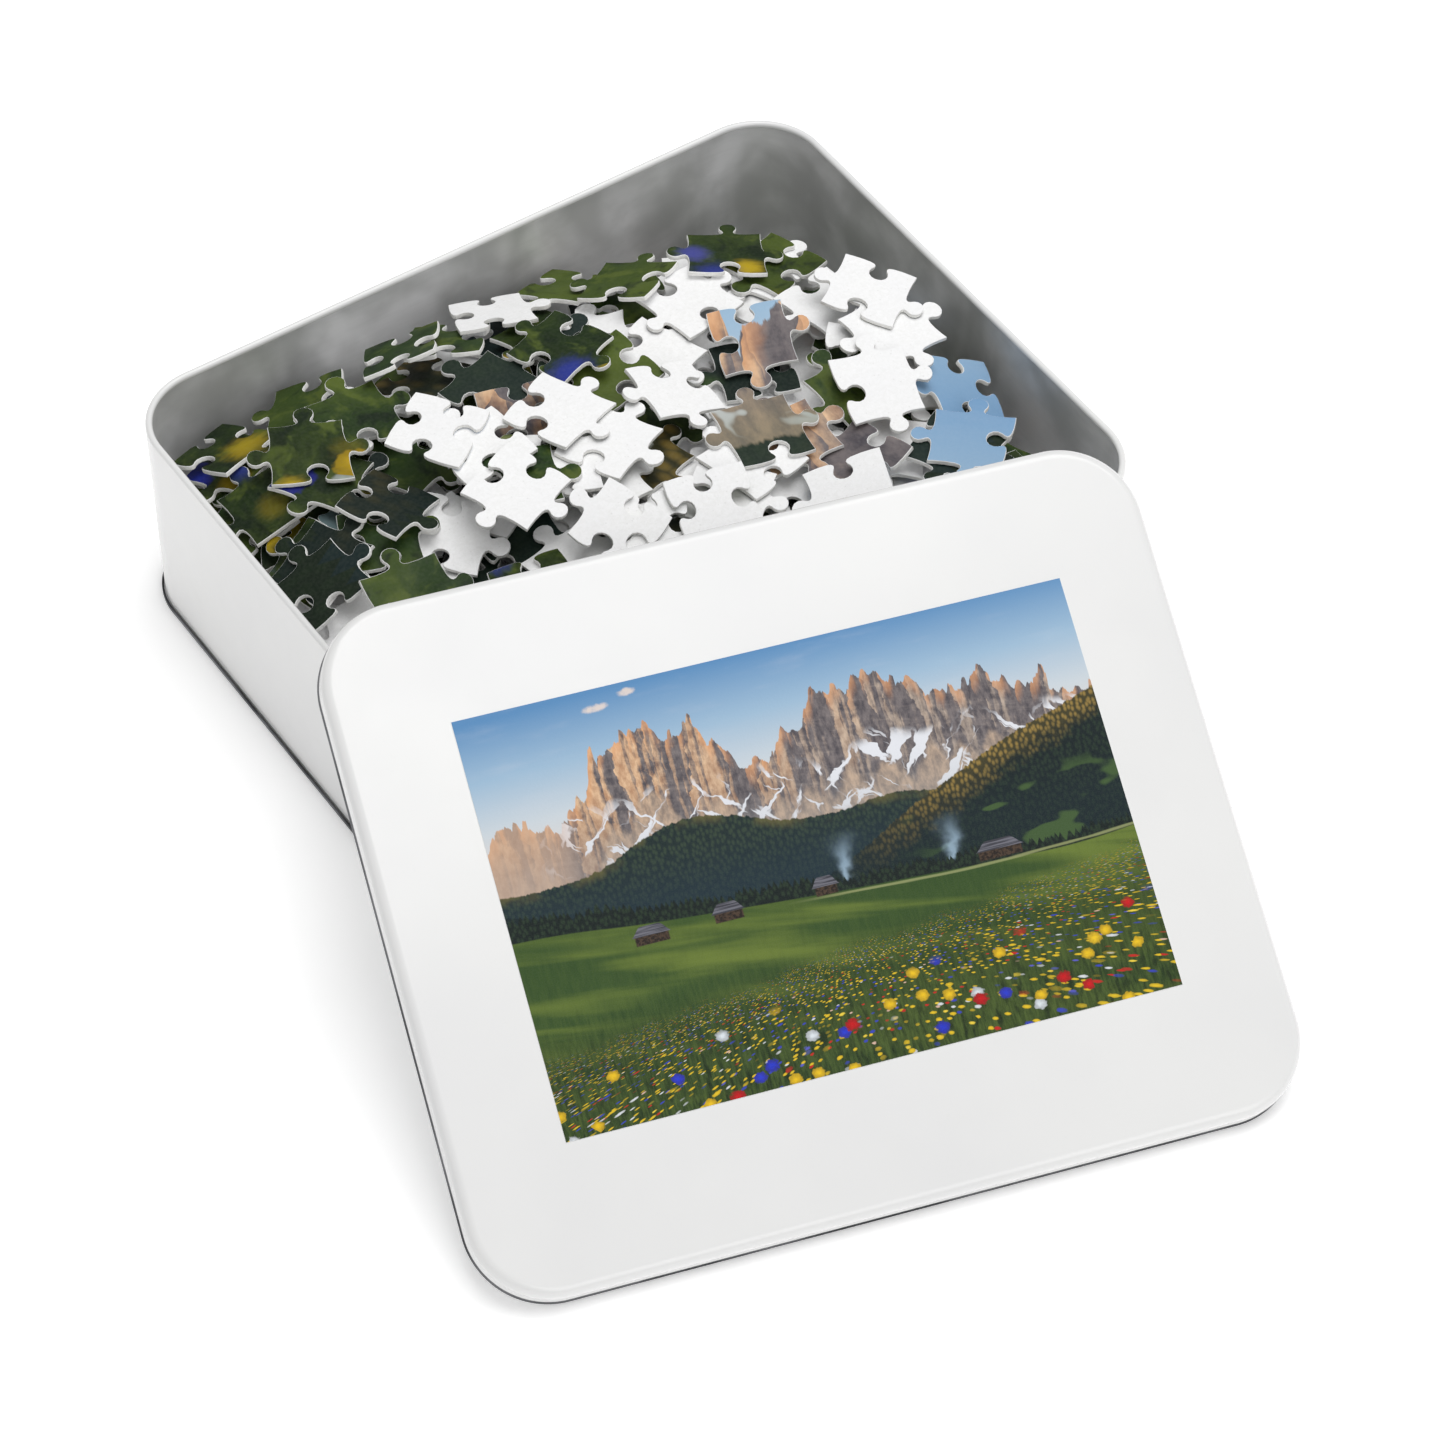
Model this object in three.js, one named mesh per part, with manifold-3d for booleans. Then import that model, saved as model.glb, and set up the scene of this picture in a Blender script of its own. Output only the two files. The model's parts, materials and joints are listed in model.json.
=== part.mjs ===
// Boxed jigsaw puzzle: a shallow tinplate tin with its slip-on lid leaning on the rim,
// filled with loose die-cut chipboard puzzle pieces. Millimetres, +Z up.
// Origin: centre of the tin's base, on the table. +X along the tin's long side,
// +Y towards its back. The lid's front edge stands on the table in front (-Y).
import * as THREE from 'three';
import { mergeVertices } from 'three/addons/utils/BufferGeometryUtils.js';
import Module from 'manifold-3d';

// ---------------------------------------------------------------- driving dimensions
const TIN_W = 200;            // tin outside, long side
const TIN_D = 164.6;          // tin outside, short side
const TIN_H = 60.5;           // floor to the top of the rolled rim
const TIN_R = 19;             // plan corner radius
const SHEET = 0.6;            // tinplate and lacquer
const BEAD_W = 1.8;           // rolled rim, width inwards
const SEAM_OUT = 0.8;         // base seam stands out past the wall
const SEAM_H = 1.5;           // base seam height
const GAP = 0.3;              // clearance between touching pieces

const LID_W = 203.8;          // lid outside, long side
const LID_D = 168.4;
const LID_H = 8.7;            // skirt's edge to the panel's face
const LID_R = 20.2;
const LID_X = -53.5;          // middle of the lid's front edge
const LID_Y = -194.5;
const LID_YAW = -0.2869;      // turned about Z
const LID_TILT = 0.4806;      // lean, from the table to the tin's rim

const LABEL_W = 150.6;        // printed picture on the lid
const LABEL_D = 101.8;
const LABEL_T = 0.2;
const LABEL_DX = 1.2;         // offset from the lid's centre
const LABEL_DY = 1.1;

const COLS = 31;              // jigsaw: 31 x 21 pieces, 608 x 412 mm made up
const ROWS = 21;
const PIECE_W = 19.6;
const PIECE_D = 19.6;
const PIECE_T = 1.2;          // chipboard and print
const CORNER_STEPS = 6;       // facets on each rounded corner

// ---------------------------------------------------------------- materials
const material = {
  enamel: new THREE.MeshStandardMaterial({ color: 0xf4f4f4, roughness: 0.32, metalness: 0.0 }),
  tinplate: new THREE.MeshStandardMaterial({ color: 0x9a9c9f, roughness: 0.35, metalness: 0.9 }),
  label: new THREE.MeshStandardMaterial({ color: 0x6f8a6a, roughness: 0.4, metalness: 0.0 }),
  board: new THREE.MeshStandardMaterial({ color: 0xf1f0ec, roughness: 0.75, metalness: 0.0 }),
  print: new THREE.MeshStandardMaterial({ color: 0x3f5a33, roughness: 0.45, metalness: 0.0 }),
};

// ---------------------------------------------------------------- rounded rectangles
// Stations once around a rounded rectangle, counter-clockwise: corner centre and direction.
function stations(w, d, r) {
  const list = [];
  const centres = [[w / 2 - r, d / 2 - r], [-w / 2 + r, d / 2 - r], [-w / 2 + r, -d / 2 + r], [w / 2 - r, -d / 2 + r]];
  for (let q = 0; q < 4; q++) {
    for (let k = 0; k <= CORNER_STEPS; k++) {
      const a = (q + k / CORNER_STEPS) * Math.PI / 2;
      list.push([centres[q][0], centres[q][1], Math.cos(a), Math.sin(a)]);
    }
  }
  return list;
}

function indexed(points, faces) {
  const g = new THREE.BufferGeometry();
  g.setAttribute('position', new THREE.Float32BufferAttribute(points.flat(), 3));
  g.setIndex(faces.flat());
  return g;
}

// Sweeps a closed section (inward offset, height) around the rounded rectangle.
// The section runs clockwise seen with the outside on the left: out, up, in, down.
function hoop(section, w, d, r) {
  const st = stations(w, d, r);
  const n = section.length;
  const points = [];
  for (const [cx, cy, ux, uy] of st) {
    for (const [o, z] of section) points.push([cx + (r - o) * ux, cy + (r - o) * uy, z]);
  }
  const faces = [];
  for (let i = 0; i < st.length; i++) {
    const i2 = (i + 1) % st.length;
    for (let j = 0; j < n; j++) {
      const j2 = (j + 1) % n;
      const a = i * n + j, b = i2 * n + j, c = i2 * n + j2, e = i * n + j2;
      faces.push([a, b, c], [a, c, e]);
    }
  }
  return indexed(points, faces);
}

// A pan: the section runs from the panel's lower face, out round the edge, to its upper face,
// or the other way for a lid, and both ends are closed by a flat panel.
function pan(section, w, d, r) {
  const st = stations(w, d, r);
  const n = section.length;
  const points = [];
  for (const [cx, cy, ux, uy] of st) {
    for (const [o, z] of section) points.push([cx + (r - o) * ux, cy + (r - o) * uy, z]);
  }
  const first = points.length;
  points.push([0, 0, section[0][1]], [0, 0, section[n - 1][1]]);
  const faces = [];
  for (let i = 0; i < st.length; i++) {
    const i2 = (i + 1) % st.length;
    for (let j = 0; j < n - 1; j++) {
      const a = i * n + j, b = i2 * n + j, c = i2 * n + j + 1, e = i * n + j + 1;
      faces.push([a, b, c], [a, c, e]);
    }
    faces.push([first, i2 * n, i * n]);
    faces.push([first + 1, i * n + n - 1, i2 * n + n - 1]);
  }
  return indexed(points, faces);
}

// ---------------------------------------------------------------- tin
function tinWall() {
  const h = TIN_H;
  return hoop([
    [0, SHEET + GAP], [0, h - 0.9], [0.3, h - 0.2], [0.9, h], [1.5, h - 0.2], [BEAD_W, h - 0.9],
    [1.55, h - 1.6], [1.0, h - 1.9], [SHEET, h - 2.2], [SHEET, SHEET + GAP],
  ], TIN_W, TIN_D, TIN_R);
}

function tinBottom() {
  return pan([
    [6, 0], [-SEAM_OUT + 0.3, 0], [-SEAM_OUT, 0.3], [-SEAM_OUT, SEAM_H - 0.3], [-SEAM_OUT + 0.2, SEAM_H],
    [-GAP, SEAM_H - 0.1], [-GAP, SHEET], [6, SHEET],
  ], TIN_W, TIN_D, TIN_R);
}

// ---------------------------------------------------------------- lid, in its own frame
// Its frame: origin at the middle of the front edge, +Y up the slope, +Z out of the panel.
function lidShell() {
  const h = LID_H;
  const g = pan([
    [3.0, h - SHEET], [2.3, h - 0.75], [1.6, h - 1.1], [1.15, h - 1.7], [1.0, h - 2.7], [1.0, 1.3],
    [1.2, 0.7], [1.1, 0.25], [0.7, 0], [0.3, 0.1], [0, 0.6], [0.1, 1.1], [0.4, 1.5],
    [0.4, h - 2.7], [0.5, h - 1.6], [1.0, h - 0.7], [1.9, h - 0.15], [3.0, h],
  ], LID_W, LID_D, LID_R);
  g.translate(0, LID_D / 2, 0);
  return g;
}

function lidLabel() {
  const s = new THREE.Shape();
  s.moveTo(-LABEL_W / 2, -LABEL_D / 2);
  s.lineTo(LABEL_W / 2, -LABEL_D / 2);
  s.lineTo(LABEL_W / 2, LABEL_D / 2);
  s.lineTo(-LABEL_W / 2, LABEL_D / 2);
  s.closePath();
  const g = new THREE.ExtrudeGeometry(s, { depth: LABEL_T, bevelEnabled: false, steps: 1 });
  g.translate(LABEL_DX, LID_D / 2 + LABEL_DY, LID_H + GAP);
  return g;
}

// ---------------------------------------------------------------- puzzle pieces
// One side of a piece with its knob: x along the side, y out of it, in side lengths.
const KNOB = [[0, 0], [0.39, 0.004], [0.418, 0.045], [0.376, 0.13], [0.392, 0.222], [0.46, 0.266], [0.54, 0.266], [0.608, 0.222], [0.624, 0.13], [0.582, 0.045], [0.61, 0.004]];

// Repeatable scatter in 0..1 for cut number (i, j), so that neighbours share one cut.
function scatter(i, j, k) {
  const v = Math.sin(i * 12.9898 + j * 78.233 + k * 37.719 + 4.1) * 43758.5453;
  return v - Math.floor(v);
}

function cutCorner(i, j) {
  const dx = i === 0 || i === COLS ? 0 : (scatter(i, j, 1) - 0.5) * 1.6;
  const dy = j === 0 || j === ROWS ? 0 : (scatter(i, j, 2) - 0.5) * 1.6;
  return [i * PIECE_W + dx, j * PIECE_D + dy];
}

// kind 0 runs from corner (i, j) to (i + 1, j), kind 1 from (i, j) to (i, j + 1).
function cutEnd(kind, i, j) {
  return kind === 0 ? cutCorner(i + 1, j) : cutCorner(i, j + 1);
}

function cut(kind, i, j) {
  const a = cutCorner(i, j), b = cutEnd(kind, i, j);
  const border = kind === 0 ? j === 0 || j === ROWS : i === 0 || i === COLS;
  if (border) return [a];
  const len = Math.hypot(b[0] - a[0], b[1] - a[1]);
  const ux = (b[0] - a[0]) / len, uy = (b[1] - a[1]) / len, nx = -uy, ny = ux;
  const side = scatter(i, j, 5 + kind) > 0.5 ? 1 : -1;
  const shift = (scatter(i, j, 8 + kind) - 0.5) * 0.14;
  const size = (0.92 + 0.2 * scatter(i, j, 11 + kind)) * PIECE_W / len;
  const lean = (scatter(i, j, 14 + kind) - 0.5) * 0.12;
  return KNOB.map(([x, y]) => {
    if (x === 0) return a;
    const xx = 0.5 + shift + (x - 0.5) * size + lean * Math.max(0, y);
    const yy = y * size * side;
    return [a[0] + ux * xx * len + nx * yy * len, a[1] + uy * xx * len + ny * yy * len];
  });
}

// Outline of the piece in column c, row r, about its own middle, counter-clockwise.
function outline(c, r) {
  const back = (kind, i, j) => [cutEnd(kind, i, j), ...cut(kind, i, j).slice(1).reverse()];
  const pts = [...cut(0, c, r), ...cut(1, c + 1, r), ...back(0, c, r + 1), ...back(1, c, r)];
  return pts.map(([x, y]) => [x - (c + 0.5) * PIECE_W, y - (r + 0.5) * PIECE_D]);
}

// Turned over, a piece shows its plain back: its outline is then the mirror image.
function pieceGeometry(c, r, face) {
  const s = new THREE.Shape();
  outline(c, r).forEach(([x, y], k) => (k ? s.lineTo(x, face * y) : s.moveTo(x, face * y)));
  s.closePath();
  return new THREE.ExtrudeGeometry(s, { depth: PIECE_T, bevelEnabled: false, steps: 1 });
}

// Where each of the topmost pieces lies: column, row, x, y, z of the middle of its lower face,
// turn about Z, 1 for picture up or -1 for back up, and the slopes of its face along X and Y.
const TOP_PIECES = [
  [16, 9, -61.05, -34.91, 50.37, 2.7532, -1, 0.0812, -0.0048],
  [9, 8, -68.4, -64.1, 49.44, 1.2515, -1, -0.0278, 0.2485],
  [15, 10, -81.89, -7.68, 49.26, 1.2907, -1, 0.3631, -0.1245],
  [29, 1, -51.95, 3.17, 53.35, 5.3853, -1, 0.1161, 0.0913],
  [17, 9, -77.22, -34.67, 50.53, 2.5943, 1, 0.1889, -0.037],
  [6, 8, -45.35, -52.21, 52.93, 4.7613, -1, 0.0652, 0.0249],
  [29, 0, -81.08, 40.54, 49.46, 6.2579, 1, 0.2961, -0.0491],
  [8, 1, 10.31, -48.1, 52.76, 0.1298, -1, -0.0885, 0.0757],
  [20, 1, 71.32, -61.92, 51.09, 1.7335, 1, -0.1821, 0.348],
  [3, 5, -55.33, 66.48, 47.38, 0.9974, 1, 0.2256, -0.42],
  [2, 1, -80.26, 64.23, 46.58, 0.3348, 1, 0.0452, -0.42],
  [28, 7, 8.02, 23.08, 59.05, 0.1001, 1, 0.0684, 0.0901],
  [21, 19, 81.81, -25.43, 51.77, 2.8586, 1, -0.42, 0.2983],
  [5, 10, 65.64, -45.22, 56.87, 0.477, 1, -0.0533, -0.0383],
  [21, 16, 44.01, -35.17, 56.2, 0.2508, 1, 0.2367, -0.1082],
  [8, 17, 33.84, -18.71, 55.87, -0.1238, 1, 0.1162, 0.0063],
  [5, 1, 9.95, -27.22, 56.65, 0.7545, -1, -0.0294, 0.07],
  [16, 2, -8.18, -0.63, 63.23, 0.4577, -1, 0.0021, -0.0072],
  [25, 3, 20.62, -21.39, 58.21, 0.222, -1, -0.0453, 0.055],
  [24, 7, -67.56, 10.66, 54.37, -0.36, 1, 0.0681, 0.0553],
  [19, 9, -83.08, 12.41, 52.94, 3.4537, 1, 0.42, -0.0744],
  [14, 1, -68.65, 36.98, 53.97, 0.607, 1, -0.0685, -0.0228],
  [19, 7, -32.96, 1.51, 63.16, -0.4194, 1, 0.0021, -0.0072],
  [21, 2, -35.71, 14.38, 64.57, 0.0786, -1, 0.0021, -0.0072],
  [5, 2, -13.69, -28.34, 58.89, -0.318, -1, 0.096, 0.3532],
  [8, 9, -87, 5.82, 53.39, 4.7033, 1, 0.42, -0.0744],
  [25, 7, -17.52, 58.73, 54.9, -0.6602, 1, -0.1088, -0.42],
  [27, 12, 40.33, 36.06, 55.38, 0.1875, -1, -0.0557, -0.0126],
  [6, 1, 75.07, -4.69, 60.16, 4.8177, -1, -0.0897, 0.0731],
  [29, 7, 22.39, 65.86, 46.16, 0.4648, 1, -0.1718, -0.42],
  [12, 5, -51.23, 48.14, 54.93, -0.0945, 1, -0.0209, 0.0185],
  [2, 7, -30.44, 60.03, 57.36, 1.0861, 1, 0.1312, -0.6],
  [10, 18, -2.6, 62.17, 53.39, 4.3441, -1, -0.1518, -0.42],
  [13, 6, 32.51, 51.64, 54.68, 0.6067, 1, 0.0095, -0.42],
  [1, 3, 58.28, 45.43, 54.7, -0.5512, 1, -0.1781, -0.1596],
  [6, 17, 45.83, 14.57, 57.16, -0.3411, 1, 0.1425, 0.1076],
  [12, 1, 76.36, 7.62, 62.45, 0.6081, -1, -0.0897, 0.0731],
  [16, 12, 27.36, -15.96, 59.71, -0.1906, 1, -0.0453, 0.055],
  [4, 4, 16.32, 6.7, 61.44, -0.1149, -1, -0.3269, 0.0248],
  [7, 8, -13.74, 13.37, 65.4, 0.4218, -1, -0.0628, -0.0122],
  [1, 18, -42.04, 23.83, 65.98, 0.6008, -1, 0.0021, -0.0072],
  [23, 1, -68.32, 42.98, 56.51, -0.4297, 1, 0.0102, 0.0159],
  [18, 9, -62.45, 15.64, 58.67, 0.432, 1, -0.2117, -0.0744],
  [14, 12, -35.9, -2.69, 65.5, 1.9216, -1, 0.0021, 0.0962],
  [6, 5, -20.26, -24.21, 61.29, 0.4087, -1, 0.096, 0.3532],
  [27, 7, 2.9, -31.72, 60.49, 2.9358, -1, 0.0016, 0.3514],
  [3, 20, 35.61, -43.8, 57.27, 1.2205, -1, 0.2367, 0.0721],
  [27, 19, 69.21, -46.13, 58.22, -0.7948, 1, -0.0533, -0.0383],
  [9, 16, 60.19, -20.03, 60.72, -0.3259, -1, 0.0645, 0.1502],
  [4, 6, -71.78, -12.98, 56.2, 4.6777, 1, -0.0348, 0.3366],
  [17, 1, -44.19, -25.05, 53.36, 4.5242, 1, 0.0899, 0.0045],
  [7, 3, 1.36, 35.57, 61.74, 0.2976, 1, 0.0614, -0.1049],
  [29, 20, -0.05, -64.25, 51.42, 2.9534, 1, 0.072, 0.4427],
  [7, 9, 46.84, -68.34, 52.25, 4.7662, -1, 0.0274, 0.5],
];

function placePiece(mesh, x, y, z, turn, a, b) {
  const up = new THREE.Vector3(0, 0, 1);
  const n = new THREE.Vector3(-a, -b, 1).normalize();
  const lean = new THREE.Quaternion().setFromUnitVectors(up, n);
  const spin = new THREE.Quaternion().setFromAxisAngle(up, turn);
  mesh.quaternion.copy(lean.multiply(spin));
  mesh.position.set(x, y, z);
}

function pieceName(c, r) {
  const two = (v) => String(v + 1).padStart(2, '0');
  const ends = (c === 0 || c === COLS - 1 ? 1 : 0) + (r === 0 || r === ROWS - 1 ? 1 : 0);
  return `${['inner', 'edge', 'corner'][ends]}_piece_r${two(r)}_c${two(c)}`;
}

// ---------------------------------------------------------------- the heap under them
// Height of the heap of other loose pieces on a grid over the tin, front to back in each row.
const HEAP = [
  [3, 3, 3, 3, 3, 3, 3, 3, 3, 3, 3, 3, 3, 3, 3, 3, 3, 3, 3, 3, 3],
  [3, 3.9, 40.2, 43.2, 44.5, 44.4, 30.4, 40, 38.6, 43.1, 43.1, 43.9, 43.4, 41.9, 43, 43, 41.9, 43.3, 38.5, 3, 3],
  [3, 38.3, 41.6, 47.6, 47.9, 46.5, 43.8, 41.9, 42.2, 44.6, 44.6, 44.9, 48.2, 46.5, 45.8, 45.6, 45.6, 45, 41.9, 27.9, 3],
  [3, 14.6, 43.2, 45.9, 49, 42.2, 45.4, 48.6, 48.3, 47.2, 47, 47, 51.4, 48.7, 48.3, 47.9, 45.1, 44.4, 40.9, 28.9, 3],
  [3, 37.2, 46.3, 48.3, 45.2, 42, 46.7, 47.8, 49.5, 50.3, 49.8, 47.4, 49.3, 51.1, 50.9, 50.4, 47, 44.4, 40.9, 27.8, 3],
  [3, 37.2, 46.3, 48.3, 45.9, 42.9, 45.5, 46.6, 49.5, 50.9, 43.8, 47, 49.5, 51.5, 51.8, 51.8, 49.6, 44.6, 37.6, 32.3, 3],
  [3, 36.6, 46.9, 45.7, 44.4, 48.2, 50, 50.2, 48.8, 48.6, 45.8, 50.4, 47.8, 50.9, 50.3, 51.6, 49.8, 46.5, 39, 34.6, 3],
  [3, 37.7, 46.8, 47.5, 47.6, 47.2, 49.7, 50.9, 52.1, 51.7, 52.1, 52.9, 52.2, 51.5, 50.6, 50, 49.7, 48.4, 41.2, 36.9, 3],
  [3, 43.6, 47, 52.4, 52.6, 48.9, 53, 53.2, 53, 51.9, 53.1, 53.8, 54.6, 59.5, 51.4, 50.4, 53.2, 50.3, 44.7, 34.4, 3],
  [3, 40.9, 47.8, 53, 52.9, 52.9, 54, 54, 54, 54, 62.8, 62.7, 60.3, 60.3, 60.1, 58.1, 54.2, 50.3, 47.6, 28.3, 3],
  [3, 43.9, 46.7, 49.5, 50.7, 51.4, 52.6, 49.4, 59.3, 61.8, 62.8, 62.8, 61, 60.9, 59.5, 57.7, 53, 47.8, 38.7, 11.8, 3],
  [3, 46.3, 46.6, 49.5, 49.1, 52.6, 53.4, 55.2, 56.7, 59.8, 59.7, 55.5, 55.6, 57.5, 57.8, 57.7, 51.9, 49.1, 38.4, 12.5, 3],
  [3, 45.2, 46.6, 49.2, 49.6, 52.4, 53.2, 55.9, 56.5, 57, 57.4, 56, 56, 57.5, 57.8, 57.1, 53.1, 49.4, 47.3, 3, 3],
  [3, 46.6, 46.6, 47.7, 44.3, 51.7, 52.3, 53.6, 54.9, 56.6, 56.6, 52.5, 52.2, 57.5, 58.3, 57.1, 50, 46.7, 36.3, 5.3, 3],
  [3, 46.3, 47.1, 49.8, 50.4, 49.3, 48.2, 50.7, 50.5, 50.3, 53.2, 53.1, 55.4, 55.8, 56, 52.7, 48.6, 41.6, 35.9, 4.2, 3],
  [3, 41.1, 48.3, 49.2, 50.7, 51.2, 52.1, 52.5, 52.1, 52.3, 52.4, 51.2, 54.4, 55.4, 55.3, 52.4, 47.6, 43.8, 29.7, 28.1, 3],
  [3, 35.9, 40, 52.8, 51.2, 51.2, 52.1, 52.5, 51.7, 51.7, 52.2, 53.7, 53.6, 55, 51.6, 49.8, 47.6, 43.8, 28.5, 3, 3],
  [3, 39.8, 46.7, 52.8, 53, 52.5, 52.1, 52.5, 51, 50.7, 54.2, 54.1, 53.7, 47.4, 51, 50.8, 46.9, 43.8, 27.4, 3, 3],
  [3, 45.8, 48.6, 51.4, 49.8, 53.7, 53.8, 53.6, 53.6, 54.6, 51.1, 54.4, 52.8, 50.6, 50.7, 50.5, 46.3, 44, 26.1, 3, 3],
  [3, 46.9, 48, 50, 50.4, 53.3, 53.3, 53.4, 55.9, 58.1, 56, 45.7, 56.7, 52, 53.4, 52, 50.3, 44, 26.6, 3, 3],
  [3, 39.5, 42.7, 47.1, 51.4, 51.6, 51.6, 50.3, 54.3, 56.7, 57.8, 57.4, 56.9, 54.7, 52.8, 51.3, 50.8, 35.4, 24.1, 8.6, 3],
  [3, 36.8, 41, 47.2, 50.3, 47.3, 47.3, 47.4, 49.5, 53.1, 58.3, 56.8, 56.3, 55.6, 52.8, 51.3, 39.2, 33.8, 21.3, 18.6, 3],
  [3, 34.9, 37, 42.2, 47.5, 45.3, 45, 40, 46.2, 46.3, 42.6, 43.9, 41.1, 41.4, 39.2, 23.9, 22.6, 18.3, 16.7, 3, 3],
  [3, 3, 15.8, 17.8, 3, 5.4, 7.7, 12.2, 14.1, 8.9, 16.9, 17.8, 18.5, 5.8, 17.8, 3, 7.5, 6.4, 3, 3, 3],
  [3, 3, 3, 3, 3, 3, 3, 3, 3, 3, 3, 3, 3, 3, 3, 3, 3, 3, 3, 3, 3],
];

function heapField() {
  const nx = HEAP.length - 1, ny = HEAP[0].length - 1;
  const w = TIN_W - 1, d = TIN_D - 1, z0 = SHEET + GAP;
  const points = [];
  for (let i = 0; i <= nx; i++) for (let j = 0; j <= ny; j++) points.push([w * (i / nx - 0.5), d * (j / ny - 0.5), HEAP[i][j]]);
  const base = points.length;
  const ring = [];
  for (let i = 0; i < nx; i++) ring.push([i, 0]);
  for (let j = 0; j < ny; j++) ring.push([nx, j]);
  for (let i = nx; i > 0; i--) ring.push([i, ny]);
  for (let j = ny; j > 0; j--) ring.push([0, j]);
  for (const [i, j] of ring) points.push([w * (i / nx - 0.5), d * (j / ny - 0.5), z0]);
  points.push([0, 0, z0]);
  const at = (i, j) => i * (ny + 1) + j;
  const faces = [];
  for (let i = 0; i < nx; i++) {
    for (let j = 0; j < ny; j++) {
      const a = at(i, j), b = at(i + 1, j), c = at(i + 1, j + 1), e = at(i, j + 1);
      faces.push([a, b, c], [a, c, e]);
    }
  }
  for (let k = 0; k < ring.length; k++) {
    const k2 = (k + 1) % ring.length;
    const t = at(...ring[k]), t2 = at(...ring[k2]);
    faces.push([t, base + k, base + k2], [t, base + k2, t2]);
    faces.push([base + ring.length, base + k2, base + k]);
  }
  return indexed(points, faces);
}

const wasm = await Module();
wasm.setup();

function toSolid(geometry) {
  let g = geometry.clone();
  g.deleteAttribute('normal');
  g.deleteAttribute('uv');
  g = mergeVertices(g, 1e-5);
  return new wasm.Manifold(new wasm.Mesh({
    numProp: 3,
    vertProperties: new Float32Array(g.attributes.position.array),
    triVerts: new Uint32Array(g.index.array),
  }));
}

function fromSolid(solid) {
  const m = solid.getMesh();
  const g = new THREE.BufferGeometry();
  g.setAttribute('position', new THREE.BufferAttribute(new Float32Array(m.vertProperties), 3));
  g.setIndex(new THREE.BufferAttribute(new Uint32Array(m.triVerts), 1));
  return g;
}

// The heap fills the tin to 0.4 mm from the wall.
function heap() {
  const inset = BEAD_W + 0.4;
  const s = new THREE.Shape();
  stations(TIN_W, TIN_D, TIN_R).forEach(([cx, cy, ux, uy], k) => {
    const x = cx + (TIN_R - inset) * ux, y = cy + (TIN_R - inset) * uy;
    if (k) s.lineTo(x, y); else s.moveTo(x, y);
  });
  s.closePath();
  const block = new THREE.ExtrudeGeometry(s, { depth: 100, bevelEnabled: false, steps: 1 });
  block.translate(0, 0, -10);
  return fromSolid(toSolid(heapField()).intersect(toSolid(block)));
}

// ---------------------------------------------------------------- assembly
function named(name, geometry, mat) {
  const g = geometry.clone();
  if (!g.attributes.normal) g.computeVertexNormals();
  const mesh = new THREE.Mesh(g, mat.clone());
  mesh.name = name;
  return mesh;
}

const puzzle = new THREE.Group();

const tin = new THREE.Group();
tin.add(named('tin_wall', tinWall(), material.enamel));
tin.add(named('tin_bottom', tinBottom(), material.tinplate));
puzzle.add(tin);

// The lid's front edge stands on the table, so its lowest point is at z = 0.
const lid = new THREE.Group();
const shell = named('lid_shell', lidShell(), material.enamel);
lid.add(shell);
lid.add(named('lid_picture_label', lidLabel(), material.label));
lid.rotation.set(LID_TILT, 0, LID_YAW, 'ZYX');
lid.position.set(LID_X, LID_Y, 0);
lid.updateMatrixWorld(true);
lid.position.z = -new THREE.Box3().setFromObject(shell, true).min.z;
puzzle.add(lid);

const pieces = new THREE.Group();
pieces.add(named('lower_pieces_heap', heap(), material.board));
for (const [c, r, x, y, z, turn, face, a, b] of TOP_PIECES) {
  const mesh = named(pieceName(c, r), pieceGeometry(c, r, face), face > 0 ? material.print : material.board);
  placePiece(mesh, x, y, z, turn, a, b);
  pieces.add(mesh);
}
puzzle.add(pieces);

export default puzzle;
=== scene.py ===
import json
import math

import bpy
import numpy as np
from mathutils import Matrix, Vector

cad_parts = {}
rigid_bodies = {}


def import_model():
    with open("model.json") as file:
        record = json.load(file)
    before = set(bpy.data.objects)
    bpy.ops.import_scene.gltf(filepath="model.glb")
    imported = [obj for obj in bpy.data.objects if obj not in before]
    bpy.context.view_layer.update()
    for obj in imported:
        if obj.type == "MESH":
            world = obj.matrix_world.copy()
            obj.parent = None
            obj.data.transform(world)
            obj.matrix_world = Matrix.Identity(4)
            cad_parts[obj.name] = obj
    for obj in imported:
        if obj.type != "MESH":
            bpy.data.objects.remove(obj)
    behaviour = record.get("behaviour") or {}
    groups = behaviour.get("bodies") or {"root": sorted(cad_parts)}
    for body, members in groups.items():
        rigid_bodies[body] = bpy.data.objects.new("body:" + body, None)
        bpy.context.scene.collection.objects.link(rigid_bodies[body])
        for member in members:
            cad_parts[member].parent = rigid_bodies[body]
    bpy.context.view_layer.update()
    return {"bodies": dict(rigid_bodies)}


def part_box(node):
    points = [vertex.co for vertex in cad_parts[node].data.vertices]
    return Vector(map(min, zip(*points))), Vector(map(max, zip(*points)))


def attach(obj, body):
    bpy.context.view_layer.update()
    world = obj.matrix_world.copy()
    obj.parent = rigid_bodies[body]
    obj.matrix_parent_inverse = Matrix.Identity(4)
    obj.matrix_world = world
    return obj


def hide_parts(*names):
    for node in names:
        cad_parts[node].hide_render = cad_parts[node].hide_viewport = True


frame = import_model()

scene = bpy.context.scene
MM = 0.001

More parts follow.
